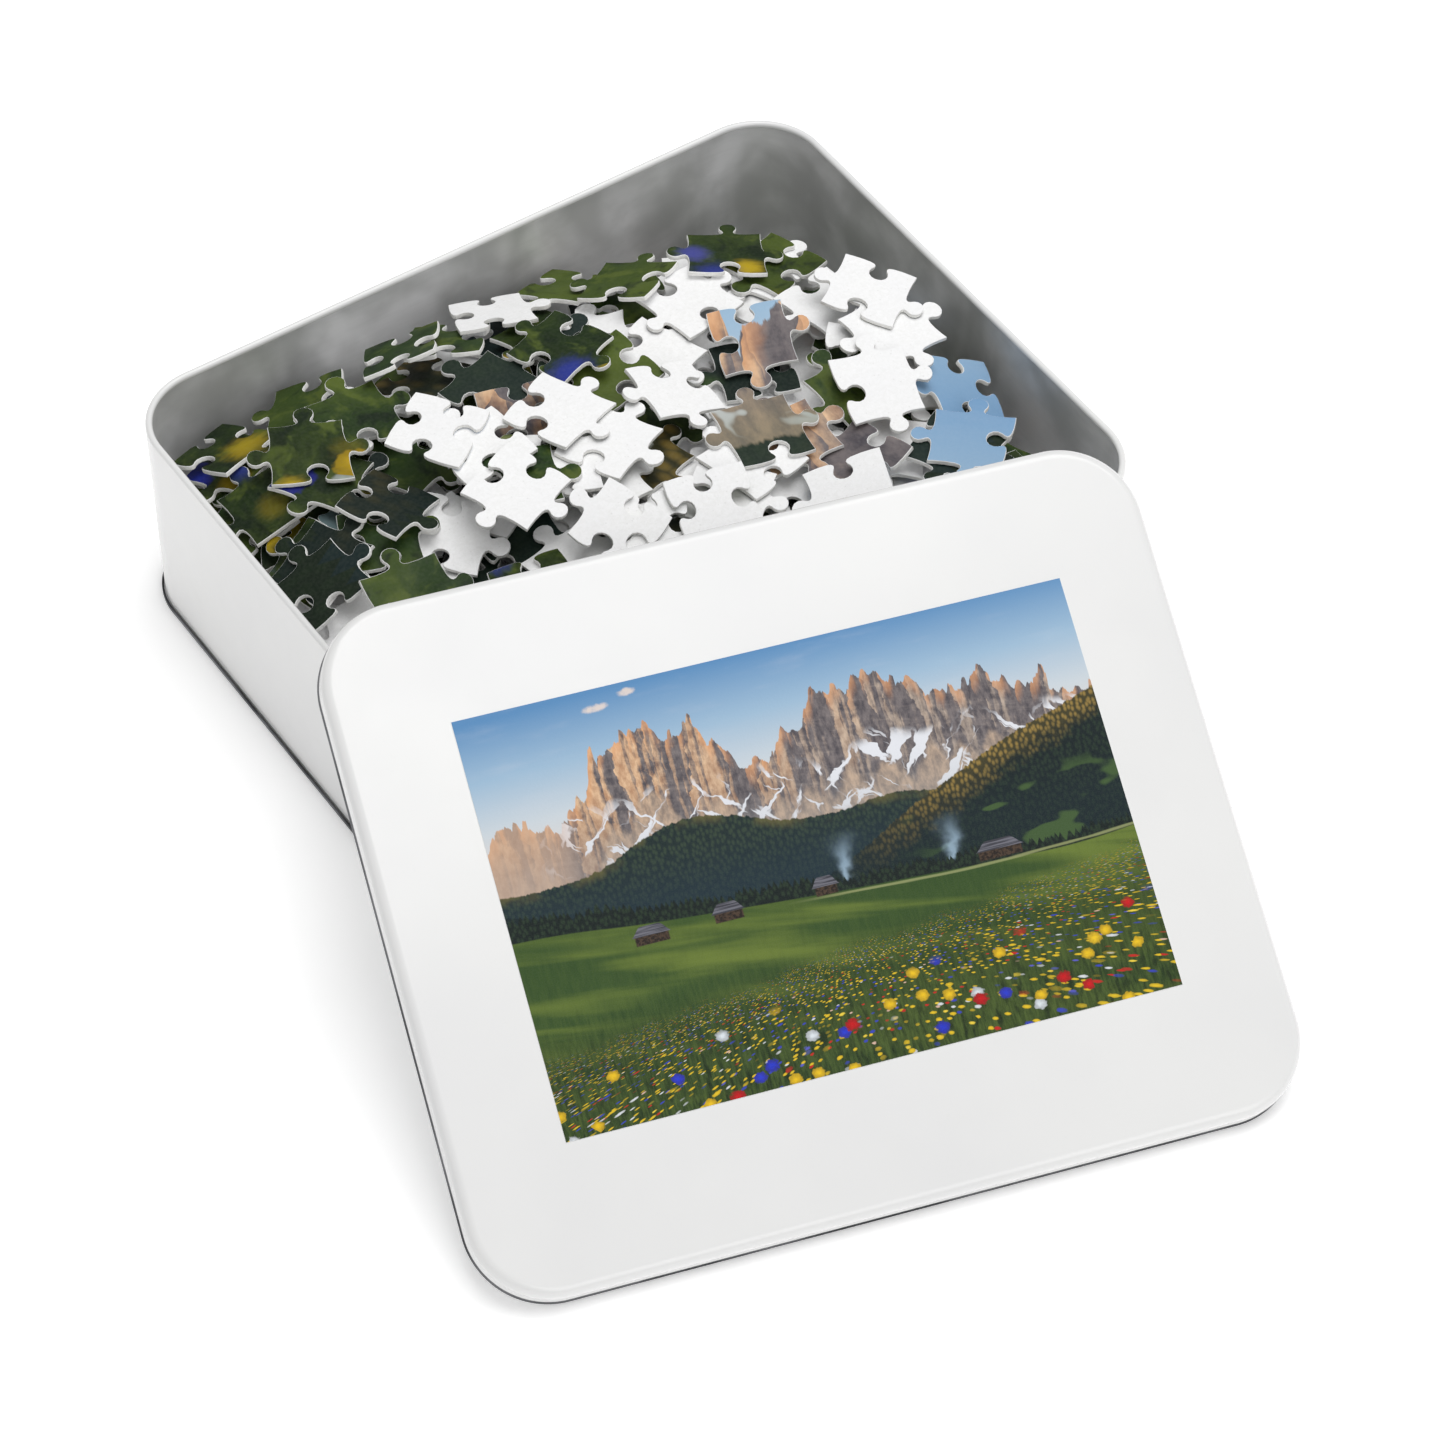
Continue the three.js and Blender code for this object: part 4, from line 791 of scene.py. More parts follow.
HEAP_PIECES = [
    (26,12,8.22,-20.76,1.9,3.5951,1,-0,-0,0), (19,19,8.62,23.9,1.9,1.0007,1,-0,-0,0), (24,14,-16.86,3.3,1.9,4.705,-1,-0,-0,0),
    (7,14,-51.78,5.12,1.9,2.9748,-1,-0,-0,0), (6,15,42.08,-7.48,1.9,1.8308,-1,-0,-0,0), (22,19,-10.27,42.01,1.9,3.5969,1,-0,-0,0),
    (18,19,-39.38,-22.74,1.9,5.2872,1,-0,-0,0), (16,15,17.83,-40.82,1.9,5.9166,1,-0,-0,0), (9,20,-18.3,-20.23,3.4,1.1306,1,-0,-0,0),
    (6,16,44.08,25.31,1.9,2.2668,-1,-0,-0,0), (25,14,-32.02,-54.64,1.9,0.5998,1,-0,-0,0), (4,19,41.14,-49.86,1.9,3.8819,-1,-0,-0,0),
    (16,17,69.67,10.06,1.9,3.1771,1,-0,-0,0), (8,19,-6.38,-47.26,1.9,0.4784,1,-0,-0,0), (16,16,-46.78,36.7,1.9,0.8757,1,-0,-0,0),
    (20,14,-72.98,55.15,1.9,3.639,-1,-0,-0,0), (3,12,13.44,53.05,1.9,3.8821,-1,-0,-0,0), (30,18,7.8,2.02,3.4,0.4856,-1,-0,-0,0),
    (10,17,-72.91,-25.92,1.9,4.5942,1,-0,-0,0), (14,18,71.68,-21.57,1.9,3.1257,-1,-0,-0,0), (17,20,66.33,34.91,1.9,5.5204,-1,-0,-0,0),
    (23,19,-80.88,27.8,1.9,0.2952,1,-0,-0,0), (26,13,26.11,39.96,3.4,1.2279,1,-0,-0,0), (29,18,33.4,8.73,3.4,5.7451,1,-0,-0,0),
    (10,15,-78.87,-64.07,1.9,0.7266,1,-0,-0,1), (13,14,73.91,-48.61,1.9,3.5223,1,-0,-0,0), (2,19,-78.52,3.95,1.9,2.1667,-1,-0,-0,0),
    (14,16,-13.1,21.8,3.4,4.1053,1,-0,-0,0), (12,20,30.16,-20.18,3.4,1.0834,1,-0,-0,0), (10,13,10.88,-64.6,2.68,3.0057,-1,-0.0254,0.0508,1),
    (15,19,-55.99,-49.01,2.7,5.3301,-1,0.0508,-0.0508,0), (21,17,63.76,57.77,2.75,4.4394,1,-0.0159,-0.0794,0), (29,13,-35.61,24.35,4.27,3.2933,1,0.0588,-0.0245,0),
    (15,16,62.92,-2.52,3.4,6.0296,1,-0,-0,0), (28,16,-57.59,-21.64,3.4,3.9453,-1,-0,-0,0), (7,13,56.84,-35.37,3.4,3.3112,1,0,-0,0),
    (9,17,-35.64,-5.6,4.21,1.9561,-1,0.0526,-0.0263,0), (7,20,-23.58,58.41,2.8,1.2185,1,0.0275,-0.055,0), (14,17,-64.62,42.54,3.4,2.6666,1,-0,-0,0),
    (24,18,29.62,-63.12,3.7,6.2309,-1,-0.0365,0.0524,1), (25,16,43.38,54.73,4.76,3.5873,1,-0.0098,-0.0809,0), (6,18,-67.71,-7.39,4.42,1.3685,-1,0.0575,-0.047,0),
    (28,15,-19.26,-43.3,4.22,2.4089,-1,-0.0577,0.0577,0), (15,12,18.47,25.24,4.9,0.3148,1,-0,-0,0), (18,13,54.06,-14.06,4.9,0.2691,-1,-0,-0,0),
    (13,18,-76.21,-43.76,3.56,3.6918,1,0.0228,0.0017,0), (7,18,75.87,22.33,3.4,5.3211,1,-0,-0,0), (25,13,-30.42,45.54,5.14,6.0136,-1,0.0275,-0.0816,0),
    (29,17,-44.43,-69.15,4.08,3.2291,-1,-0.0092,0.2125,1), (11,20,-7.05,-54.77,5.01,3.0185,1,-0.0091,0.0386,0), (5,18,53.84,13.43,4.9,6.0976,-1,-0,-0,0),
    (21,13,50.38,-62.49,3.33,6.0534,-1,-0.1334,0.0222,0), (16,19,-44.25,-38.97,4.94,3.8669,1,-0.0041,-0.0041,0), (7,17,1.45,62.18,3.18,0.3001,-1,0.0502,-0.0879,1),
    (29,14,-66.58,18.23,4.92,4.8154,-1,0.0972,-0.0413,0), (3,17,29.94,-44.68,5.49,0.5964,-1,-0.0409,-0.0369,0), (8,12,-5.94,-29.03,6.11,1.336,1,-0.0091,-0.0931,0),
    (13,12,77.93,-66.1,3.08,0.4811,-1,-0,0.0909,1), (16,20,74.3,-36.65,4.59,5.6331,-1,-0.0982,0.0344,0), (30,19,3.94,34.12,6.28,3.1661,-1,0.0502,-0.0103,0),
    (12,14,-53,68.07,3.38,4.8704,-1,-0,-0.1364,1), (24,16,-5.77,5.54,4.9,0.3089,-1,-0,-0,0), (19,13,-86.84,-23.56,4.29,4.6841,1,0.2096,-0.0396,1),
    (12,13,61.68,33.01,5.92,3.4714,-1,-0.0109,-0.0437,0), (5,14,16.78,-16.48,4.9,5.5601,-1,-0,-0,0), (23,20,-82.63,31.95,4.54,2.8172,1,0.111,-0.017,1),
    (5,19,-28.06,8.7,6.3,4.8639,1,0.0522,0.0263,0), (20,15,-74.89,59.43,4.57,4.1676,-1,0.1029,-0.0695,0), (6,12,72.12,-1.46,5.81,1.4658,1,-0.1532,-0.0081,0),
    (25,12,-8.22,52.13,6.61,3.3414,-1,0.0244,-0.1812,0), (30,17,-83.47,-64.59,4.18,4.8069,-1,0.0833,0.0714,1), (23,17,-59.9,-61.64,7.08,4.9229,1,0.0064,-0.112,0),
    (1,15,-53.46,35.34,6.5,3.7702,1,0.094,-0.1293,0), (30,14,-47.67,53.02,6.92,2.8274,-1,-0.001,-0.1305,0), (21,18,-45.46,9.93,7.66,1.5042,1,-0.0191,0.032,0),
    (0,17,-47.74,-10.44,7.91,4.9778,1,0.0356,0.1106,0), (21,15,16.84,63.36,4.58,0.0721,1,-0.1266,-0.1403,1), (5,15,60.21,-64.77,5.09,1.3879,1,-0.0201,0.0579,1),
    (12,12,-34.18,-42.42,6.51,5.8194,-1,0.0011,0.0037,0), (2,13,-82.43,14.56,5.45,3.952,-1,0.1678,0.1287,0), (26,18,13.39,-46.32,8.02,3.9886,-1,-0.0622,-0.0157,0),
    (19,16,40.84,-27.26,6.57,2.1816,-1,-0.0096,-0.0056,0), (25,15,86.75,-38.08,4.83,4.7228,-1,-0.0982,0.0344,1), (29,12,77.45,-54.07,6.5,3.0434,-1,-0.1044,0.0776,0),
    (30,13,-17.7,27.77,9.24,5.4848,-1,0.0543,0.0581,0), (1,17,77.97,53.21,4.39,4.2462,-1,-0.0159,-0.0794,1), (20,20,-15.5,-63.58,6.25,1.3097,-1,-0.0091,0.0386,0),
    (4,15,71.18,-16.63,8.06,4.4383,-1,-0.1174,-0.026,0), (3,13,40.61,36.78,7.5,0.4637,-1,0.0742,0.0131,0), (27,17,40.8,-47.27,8.09,0.7185,-1,-0.0416,0.0388,0),
    (14,19,-8.6,-11.19,6.8,0.8593,1,0.009,-0.029,0), (24,17,22.02,9.15,6.4,5.1035,1,-0,-0,0), (11,15,-55.15,-35.95,7.14,5.4003,1,0.1651,0.0514,0),
    (1,16,-26.68,-27.82,7.79,5.9363,-1,-0.016,-0.0943,0), (6,13,-77.51,-9.26,7.07,6.2182,-1,0.1678,-0.0899,0), (18,12,-86.87,54.29,5.17,0.0198,-1,0.2137,0.0413,1),
    (23,16,80.39,29.26,6.62,3.4254,1,-0.1628,0.0462,1), (27,18,-84.23,-33.12,8.88,4.4201,1,0.2096,-0.0396,1), (0,15,41.94,-8.24,7.45,5.0651,-1,-0.0187,-0.0739,0),
    (14,15,33.61,13.14,8.42,4.0369,1,0.0408,-0.0007,0), (17,12,57.92,61.62,5.56,4.8525,-1,-0.0166,-0.0809,1), (3,14,-39.24,-52.41,9.06,5.2735,1,0.0226,0.1718,0),
    (28,19,39.58,58.41,7.5,0.7295,-1,0.1064,-0.2281,0), (27,15,-27.63,60.1,7.02,1.1451,-1,-0.0504,-0.2293,1), (14,14,76.02,11.82,7.87,5.0933,1,-0.1596,0.0913,0),
    (1,20,3.66,7.01,8.11,1.6451,-1,0.0074,-0.0069,0), (5,12,13.94,-22.83,8.2,5.3097,-1,-0,-0.1304,0), (16,14,-74.72,41.13,8.23,1.5061,1,0.0795,0.1357,0),
    (9,19,20.65,30.06,9.15,1.0686,1,0.045,-0.0716,0), (20,18,-63.25,4.48,9.8,2.2488,-1,0.0252,-0.0248,0), (13,19,58.07,-46.99,9.53,4.9428,1,0.0046,0.0234,0),
    (0,13,-82.04,-62.41,6.77,2.6119,1,0.1499,0.0714,1), (28,17,-26.43,-2.89,9.02,3.0682,-1,-0.061,-0.0127,0), (4,18,82.57,51.53,7.08,3.6999,-1,-0.1106,-0.1146,1),
    (23,15,-70.99,-47.54,11.19,2.2935,-1,-0.2401,0.0263,0), (23,14,24.91,-62.3,8.65,6.1083,-1,-0.0294,0.3296,1), (3,16,-18.23,-42.8,10.17,6.0142,-1,-0.1222,0.0193,0),
    (4,13,-33.16,-65.64,8.94,5.768,1,0.0579,0.2956,1), (5,16,55.31,33.02,10.04,1.7016,1,0.0605,0.015,0), (0,19,-81.89,-2.16,9.14,1.3148,-1,0.309,0.0246,0),
    (19,20,-2.12,56.84,8.65,2.8788,1,0.0119,-0.0834,0), (17,16,21.18,-11.99,9.04,2.4235,1,0.0489,-0.074,0), (12,7,-34.07,24.17,10.48,3.9155,1,0.0084,0.0185,0),
    (18,20,7.06,-64.99,9.33,4.0338,-1,0.0768,0.3773,1), (14,0,17.94,54.2,10.23,5.0138,-1,-0.0259,-0.0739,0), (29,16,56.92,-32.33,11.25,2.814,1,0.0121,-0.0081,0),
    (25,1,-38.05,-18.19,11.16,0.8552,1,-0.0352,0.0286,0), (16,11,-62.5,-19.94,11.82,2.6307,-1,0.1199,0.0162,0), (17,14,72.32,44.15,10.89,1.669,1,-0.1397,-0.1185,0),
    (25,2,83.16,-26.26,8.18,1.8062,-1,-0.1818,0.0449,1), (16,0,50.52,11.38,10.93,1.3421,-1,0.053,0.0238,0), (28,18,82.32,-64.56,6.69,5.0373,-1,-0.1044,0.2614,1),
    (14,10,-14.38,10.92,11,1.4023,1,-0.0753,0.0655,0), (22,20,-54,-65.01,10.44,4.8602,1,-0.016,0.0807,1), (29,19,-60.28,42.51,10.67,0.8105,1,-0.0412,0.1357,0),
    (1,9,17.54,8.28,10.85,5.4523,-1,0.0084,0.0656,0), (17,18,-5.42,31.02,11.54,5.5998,1,-0.0995,-0.0957,0), (30,4,-1.81,-28.19,10.56,2.0168,1,-0.0143,-0.1372,0),
    (20,11,83.22,-7.11,9.72,0.7189,1,-0.2587,-0.1377,1), (30,3,1.43,-10,11.65,2.5337,1,-0.0237,0.0121,0), (21,20,-12.34,-57.71,12.78,1.6147,-1,-0.1236,-0.1201,0),
    (29,5,49.15,-6.2,11.53,3.4909,-1,0.0928,0.0984,0), (30,9,-24.9,-18.44,12.99,1.2861,-1,0.0355,0.0049,0), (24,5,43.76,-66.55,8.98,4.6546,1,0.0093,0.2909,1),
    (17,15,81.29,-65.4,8.12,3.1119,-1,-0.1044,0.2614,1), (12,4,-31.41,63.76,7.9,3.6468,1,-0.0504,-0.2293,1), (24,20,-27.23,45.04,12.35,4.7774,-1,-0.0504,-0.0127,0),
    (13,15,53.43,56.19,11.15,5.0222,-1,0.0841,-0.2624,0), (11,16,77.95,-36.89,11.6,3.6891,1,-0.1689,-0.0614,1), (25,19,-50.03,-46.66,12.65,3.4603,1,0.0226,-0.0279,0),
    (13,13,43.85,-30.27,12.14,4.9274,-1,0.1659,-0.064,0), (21,10,-84.28,15.71,9.69,3.3814,-1,0.3742,-0.1337,1), (30,11,24.29,-42.34,13.55,2.6946,-1,0.0435,-0.2165,0),
    (19,12,18.55,39.3,12.25,4.9848,-1,-0.0675,0.051,0), (9,11,-83.17,27.06,10.18,5.0879,1,0.3745,-0.1346,1), (10,12,-53.37,23.2,11.57,4.0725,1,0.0558,-0.0091,0),
    (12,3,38.45,18.64,12.73,6.0225,1,-0.0121,0.0238,0), (14,3,82.26,11.53,10.15,0.9344,-1,-0.2128,-0.0458,1), (11,17,70.23,60.27,10.83,5.0505,1,-0.2391,-0.3645,1),
    (26,15,-73.68,62.07,8.97,5.0912,-1,-0.1635,-0.1658,1), (2,16,61.01,-64.48,11.45,0.942,1,0.0206,0.2903,1), (21,8,28.88,-10.32,11.92,5.5901,1,0.0633,0.0183,0),
    (23,5,27.18,60.56,11.36,3.642,-1,-0.1851,-0.2203,1), (13,9,67.18,25.86,14.23,5.2951,1,0.048,0.0814,0), (3,19,-82.91,-22.58,11.22,0.7414,1,0.3164,-0.0788,1),
    (21,12,-39.58,4.92,13.92,0.5567,-1,0.0525,0.0013,0), (9,14,40.41,37.87,15.02,3.9964,1,0.1479,-0.1061,0), (0,12,-4.93,33.91,14.51,4.1051,1,0.01,0.0138,0),
    (15,18,-5.81,-45.12,14.52,0.802,-1,0.0583,-0.0716,0), (1,12,-10.68,1.73,13.35,3.8265,1,0.0057,-0.0084,0), (12,19,-44.87,62.06,11.34,3.7994,1,0.0462,-0.3567,0),
    (8,13,67.61,-9.59,14.27,5.8129,-1,0.0632,0.104,0), (9,15,-36.03,-38.74,14.35,4.8579,1,0.0202,-0.0159,0), (8,20,23.95,-64.38,14.46,4.2923,-1,-0.0685,0.3773,1),
    (22,13,-41.98,35.5,14.02,3.8249,1,0.0857,-0.003,0), (20,17,4.21,46.73,16.51,3.4892,1,0.022,0.0267,0), (8,8,7.3,-25.98,14.01,3.5486,1,-0.0915,-0.0492,0),
    (15,17,25.71,-24.58,14.38,0.0883,-1,-0.0647,-0.0073,0), (23,18,3.57,18,15.6,3.7743,-1,-0.0136,0.0746,0), (15,15,-67.22,30.26,14.73,0.043,-1,-0.0405,-0.2504,0),
    (12,10,-81.85,-56.28,15.1,4.36,-1,-0.2401,0.0263,0), (19,18,-78.45,49.45,13.86,5.9343,1,-0.0798,-0.1166,0), (22,2,-61.45,57.87,14.46,0.0852,1,-0.0002,-0.3104,0),
    (17,19,-69.21,-36.85,15.98,1.4916,1,-0.1069,0.1223,0), (25,0,58.41,7.28,16.04,2.5175,1,0.0714,-0.1216,0), (22,0,-26.39,18,15.84,5.5923,1,-0.0025,0.0013,0),
    (0,0,82.06,-25.12,13.29,0.269,-1,-0.2428,0.028,1), (14,6,-25.17,56.46,13.99,4.3138,-1,-0.21,-0.2202,0), (23,13,-17.7,63.31,14.89,5.5865,1,-0.0884,-0.5,1),
    (29,3,21.04,7.54,15.73,5.7363,-1,-0.0682,0.0976,0), (13,1,-62.5,-7.83,14.18,0.5516,-1,0.0318,-0.0073,0), (11,5,-67.21,-64.7,14.71,3.4758,1,-0.1371,0.223,1),
    (26,10,60.26,-43.84,16.31,1.853,1,-0.066,-0.0807,0), (14,8,39.66,-53.84,19.35,0.836,1,-0.0206,-0.027,0), (9,1,45.06,57.71,14.8,1.9227,1,0.1946,-0.2011,1),
    (26,17,-51.76,-27.64,16.99,2.2244,-1,-0.1007,-0.0159,0), (18,14,-72.09,2.19,16.13,4.8406,-1,0.0318,0.0468,0), (13,0,-10.04,-15.5,15.83,2.6921,1,0.0659,-0.0494,0),
    (22,5,55.57,-26.73,16.38,4.6645,1,-0.0363,-0.1402,0), (1,14,-37.52,-60.92,15.43,2.6464,1,0.0799,0.0868,0), (21,14,-20.25,-1.82,17.18,0.3089,1,0.0368,0.0554,0),
    (24,10,-19.2,-35.78,17.14,5.9505,1,0.0493,0.0811,0), (3,0,45.12,-10.27,17.57,3.9635,1,0.1825,-0.0087,0), (27,8,-2.33,65.84,15.22,1.409,-1,-0.0002,-0.5,1),
    (25,20,5.94,-65.55,15.82,6.1282,1,0.0934,0.2964,1), (30,6,18.68,-8.25,17.5,4.707,1,-0.0263,-0.0053,0), (28,3,80.25,49.37,13.79,1.8853,1,-0.5,-0.1968,1),
    (9,3,86.73,6.37,11.96,3.0222,1,-0.2734,0.0905,1), (4,16,-78.88,35.17,17.2,4.5961,1,-0.0798,-0.1281,0), (7,15,73.06,-62.3,13.88,0.1404,-1,0.0206,0.2903,0),
    (23,12,28.88,-26,17.59,3.2565,1,-0.0519,0.1482,0), (11,9,-47.77,-0.97,18.03,0.907,1,0.0093,0.0468,0), (16,6,-34.91,-18.86,19.19,1.2979,-1,0.0261,0.0238,0),
    (3,18,-45.95,24.74,17.91,0.0553,1,0.0211,-0.1877,0), (19,8,27.77,51.03,17.95,4.7924,1,-0.1359,-0.2011,0), (26,7,-77.86,-17.21,18.8,4.2792,1,0.0658,-0.1146,0),
    (13,10,-51.08,37.74,19.11,4.5451,-1,-0.0399,-0.0352,0), (15,13,79.34,-15.62,16.36,0.1589,1,-0.2546,0.0844,1), (0,16,-51.26,-45.7,18.56,2.0549,-1,-0.0285,0.0692,0),
    (15,3,-16.96,-63.62,17,2.4738,1,-0.1435,0.0208,0), (27,0,76.86,15.78,17.12,5.1292,1,-0.2734,0.0434,0), (11,11,27.77,14.74,17.61,5.9095,1,-0.1436,-0.0155,0),
    (18,18,9.32,-45.5,18.94,0.1843,1,0.0656,-0.1756,0), (27,16,61.09,45.36,20.97,3.4206,1,0.2235,0.1157,0), (24,13,80.45,-63.83,15.13,0.6552,-1,0.0206,0.2903,1),
    (11,4,20.24,31.51,21.59,5.749,1,-0.0004,0.1149,0), (15,20,-48.5,65.17,13.65,5.4956,-1,-0.0969,-0.389,1), (3,8,52,16.95,20,1.5518,-1,0.1437,0.1373,0),
    (12,15,-77.14,14.37,19.54,6.0652,-1,0.0658,0.1326,0), (20,13,78.15,-49.59,19.9,1.0357,-1,0.1485,-0.068,1), (17,5,-29.35,37.45,19.43,0.3004,-1,-0.1344,0.0825,0),
    (27,14,-7.9,16.68,18.82,0.4402,-1,-0.1215,-0.0063,0), (28,14,9.12,-19.95,19.72,5.933,1,0.125,0.0539,0), (2,17,36.53,-33.98,20.09,0.364,1,-0.0145,-0.0636,0),
    (28,20,-63.1,-24.81,21.2,2.7761,1,-0.0809,-0.0494,0), (19,6,-38.06,64.77,17.63,1.0198,1,0.066,-0.4031,1), (26,20,62.3,-7.83,21.3,4.2518,-1,0.0076,-0.0966,0),
    (5,13,-83.09,-46.22,19.02,0.3138,1,0.0171,-0.0247,1), (4,9,-12.75,49.78,22.01,4.2879,1,-0.0901,0.2242,0), (3,15,13.18,7.07,21.19,6.2572,-1,0.0802,-0.1155,0),
    (17,17,35.7,7.61,22.77,6.2474,1,-0.2522,0.0868,0), (0,3,-36.67,16.49,21.39,1.4192,-1,-0.1294,-0.0373,0), (0,7,-39.84,-42.25,19.97,5.8129,-1,-0.0304,0.0681,0),
    (0,14,-65.07,37.03,21.9,2.5162,-1,-0.0747,-0.0962,0), (5,8,76.28,62.94,19.44,1.9263,1,-0.5,-0.1968,1), (1,13,-16.68,-56.34,18.63,1.4071,1,-0.1435,0.0208,0),
    (1,10,-84.8,-9.72,19.38,6.0337,-1,0.0764,-0.0805,1), (4,14,65.91,-61.1,20.62,5.2341,-1,0.1485,0.029,0), (22,8,47.8,43.55,21.32,0.5576,-1,0.0873,0.1242,0),
    (27,6,-1.28,-4.68,21.78,2.2775,1,0.2217,0.0091,0), (26,11,79.86,16.8,17.89,3.5128,-1,-0.2734,0.0434,0), (14,13,8,45.34,23.93,3.1151,-1,0.0866,0.0645,0),
    (21,0,-60.2,64.22,17.31,0.2263,-1,0.2217,-0.1848,0), (23,4,-79.14,63.38,15.29,4.4897,1,0.1892,-0.1982,1), (28,4,74.39,-26.02,23.25,0.7368,-1,-0.0892,0.0487,1),
    (17,0,-84.38,36.66,21.55,1.7991,-1,0.4588,-0.182,1), (18,1,-4.47,-37.02,20.18,6.1736,-1,0.0656,0.0154,0), (7,16,-72.68,-58.71,20.55,4.5166,-1,-0.1116,0.1107,0),
    (19,11,27.49,-60.54,21.05,3.9839,1,0.0394,0.0515,0), (22,1,-15.03,-10.96,22.18,2.307,1,0.0759,-0.0259,0), (10,16,45.91,34.52,22.6,3.5758,-1,0.1136,0.0614,0),
    (7,7,37.88,59.19,22.31,3.504,-1,0.2401,-0.5,1), (11,18,79.4,28.21,21.26,5.0355,1,-0.368,0.0907,1), (12,18,-59.02,-10.63,21.68,4.5607,1,-0.0603,-0.1683,0),
    (0,6,-55.57,48.84,23.07,3.3908,1,0.0649,-0.0551,0), (11,1,40.33,-62.27,22.93,3.811,1,-0.1541,0.2358,0), (5,20,60.71,-63.51,23.3,4.829,1,-0.0518,0.0445,0),
    (12,16,-27.9,-1.7,23.21,2.7402,-1,0.0103,0.0068,0), (26,3,-0.59,20.92,22.02,5.8164,1,0.0574,0.0392,0), (26,19,-53.85,19.84,24.72,3.6355,1,-0.0285,-0.0877,0),
    (10,2,22.93,-44.47,24.48,2.9614,1,0.3623,-0.2101,0), (13,3,-26.96,33.45,23.14,1.3052,-1,-0.0511,0.0835,0), (26,6,85.17,6.59,18.75,0.1836,1,-0.368,0.0913,1),
    (4,20,-49.54,-55.87,20.84,4.16,1,-0.0292,0.0705,0), (5,7,-9.3,-52.67,21.45,3.2691,-1,-0.0018,0.0767,0), (13,17,45.66,-11.82,23.45,6.0145,1,0.051,-0.0143,0),
    (16,7,7.21,-60.65,23.06,1.7609,1,0.0406,0.1997,0), (7,19,-25.19,-28.55,23.1,2.9212,1,0.0486,0.106,0), (17,6,-78.47,64.56,16.73,2.3705,-1,0.1892,-0.1982,1),
    (18,2,-86.19,46.34,20.6,6.1645,1,0.4588,-0.182,1), (25,18,-4.13,-21.36,25.03,6.258,1,-0.1064,0.1494,0), (8,5,-58.51,-63.67,21.9,2.1622,1,0.0446,0.1954,1),
    (19,15,26.01,-18.69,23.46,6.1925,1,0.1153,0.0415,0), (30,7,-79.09,3,22.03,4.1134,1,0.1957,-0.041,0), (8,18,-12.93,31.52,24.23,3.9445,-1,-0.0187,0.0771,0),
    (5,6,-65.27,-41.85,25.06,4.521,-1,0.1205,-0.0134,0), (30,15,32.46,25.88,25.83,1.9477,1,-0.0306,-0.1693,0), (18,15,53.15,-42.83,25.41,0.5641,1,0.2143,-0.2689,0),
    (16,1,51.94,7.8,24.14,1.5735,-1,-0.0246,-0.0987,0), (16,13,43.1,-26.95,25.8,1.2981,1,-0.0353,0.0276,0), (18,16,-27.44,-56.94,22.5,5.414,1,0.0334,0.1046,0),
    (15,2,-34.59,47.45,25.92,2.5307,-1,0.0554,-0.0576,1), (23,2,77.33,45.27,24.43,5.0519,1,-0.4491,-0.2012,1), (6,7,2.78,-40.24,26.78,4.1669,1,0.0306,-0.0972,0),
    (27,2,72.49,-64.36,24.36,2.4488,1,-0.0368,0.0308,1), (24,12,-80.69,-58.2,24.56,1.7237,-1,0.1314,0.188,1), (19,14,-56.47,9.05,27.25,1.7555,1,-0.0285,-0.0877,0),
    (4,3,-42.27,26.97,28.15,5.2282,-1,0.0554,-0.0524,0), (7,12,-38.45,-15.94,25.11,5.5368,-1,0.0816,-0.0263,0), (14,20,75.88,-13.92,25.21,4.6262,1,-0.0892,0.0487,1),
    (18,3,-16.13,-60.03,28.25,5.8259,1,0.0399,0.1176,0), (20,19,53.35,60.33,27.32,2.179,-1,0.1148,-0.38,1), (20,16,-52.32,-29.27,27.36,5.7537,1,0.0419,-0.1162,0),
    (28,12,-16.29,13.17,25.12,0.6686,1,-0.0187,0.0214,0), (30,20,-21.03,-35.94,26.02,6.0204,-1,0.1364,-0.0108,0), (27,13,20.34,52.63,26.82,4.141,1,0.012,0.0645,0),
    (6,2,-11.04,-0.49,28,5.7701,1,0.051,-0.0955,0), (24,0,57.41,33.05,26.95,3.7932,-1,0.0893,-0.1094,0), (16,4,-77.22,-23.8,24.19,2.7154,-1,0.1892,-0.0718,0),
    (22,15,16.85,-6.13,27.01,5.0576,-1,-0.0549,0.0872,0), (2,12,9.57,19.89,24.47,4.2033,-1,-0.0352,0.0506,0), (15,5,46.88,-67.81,25.51,3.0485,-1,0.0549,0.1563,1),
    (28,13,-62.39,54.57,24.25,0.1713,1,0.1417,-0.038,0), (2,5,24.94,-30.65,28.25,1.1763,1,0.0159,-0.048,0), (9,4,59.59,-24.03,27.56,4.7564,-1,0.0235,-0.0037,0),
    (1,1,-5.54,58.01,27.5,4.6499,-1,0.0823,0.0568,1), (23,3,-60.1,-8.19,29.43,3.6054,1,-0.0237,0.0805,0), (22,7,77.3,-42.76,25.47,1.6251,-1,-0.052,-0.0656,1),
    (13,4,-40.55,-64.4,26.39,3.3027,1,0.208,0.1487,1), (11,8,64.86,7.93,26.16,3.2441,-1,0.0002,-0.1671,0), (1,11,-4.68,34.93,27.63,5.3928,-1,0.0166,0.0744,0),
    (0,20,-42.52,-5.53,29.45,3.4346,1,-0.1843,0.0002,0), (4,7,-34.44,-43.99,30.6,1.9357,-1,-0.0103,-0.0851,0), (22,14,39.97,-42.22,30.01,1.5038,1,-0.0861,0.0298,0),
    (4,1,36.41,39.47,28.36,4.5265,-1,-0.0285,0.052,0), (2,15,34.9,-3.41,27.89,5.5758,1,-0.0836,-0.0145,0), (20,12,-84.37,16.1,24.56,4.9185,-1,0.3751,0.0691,1),
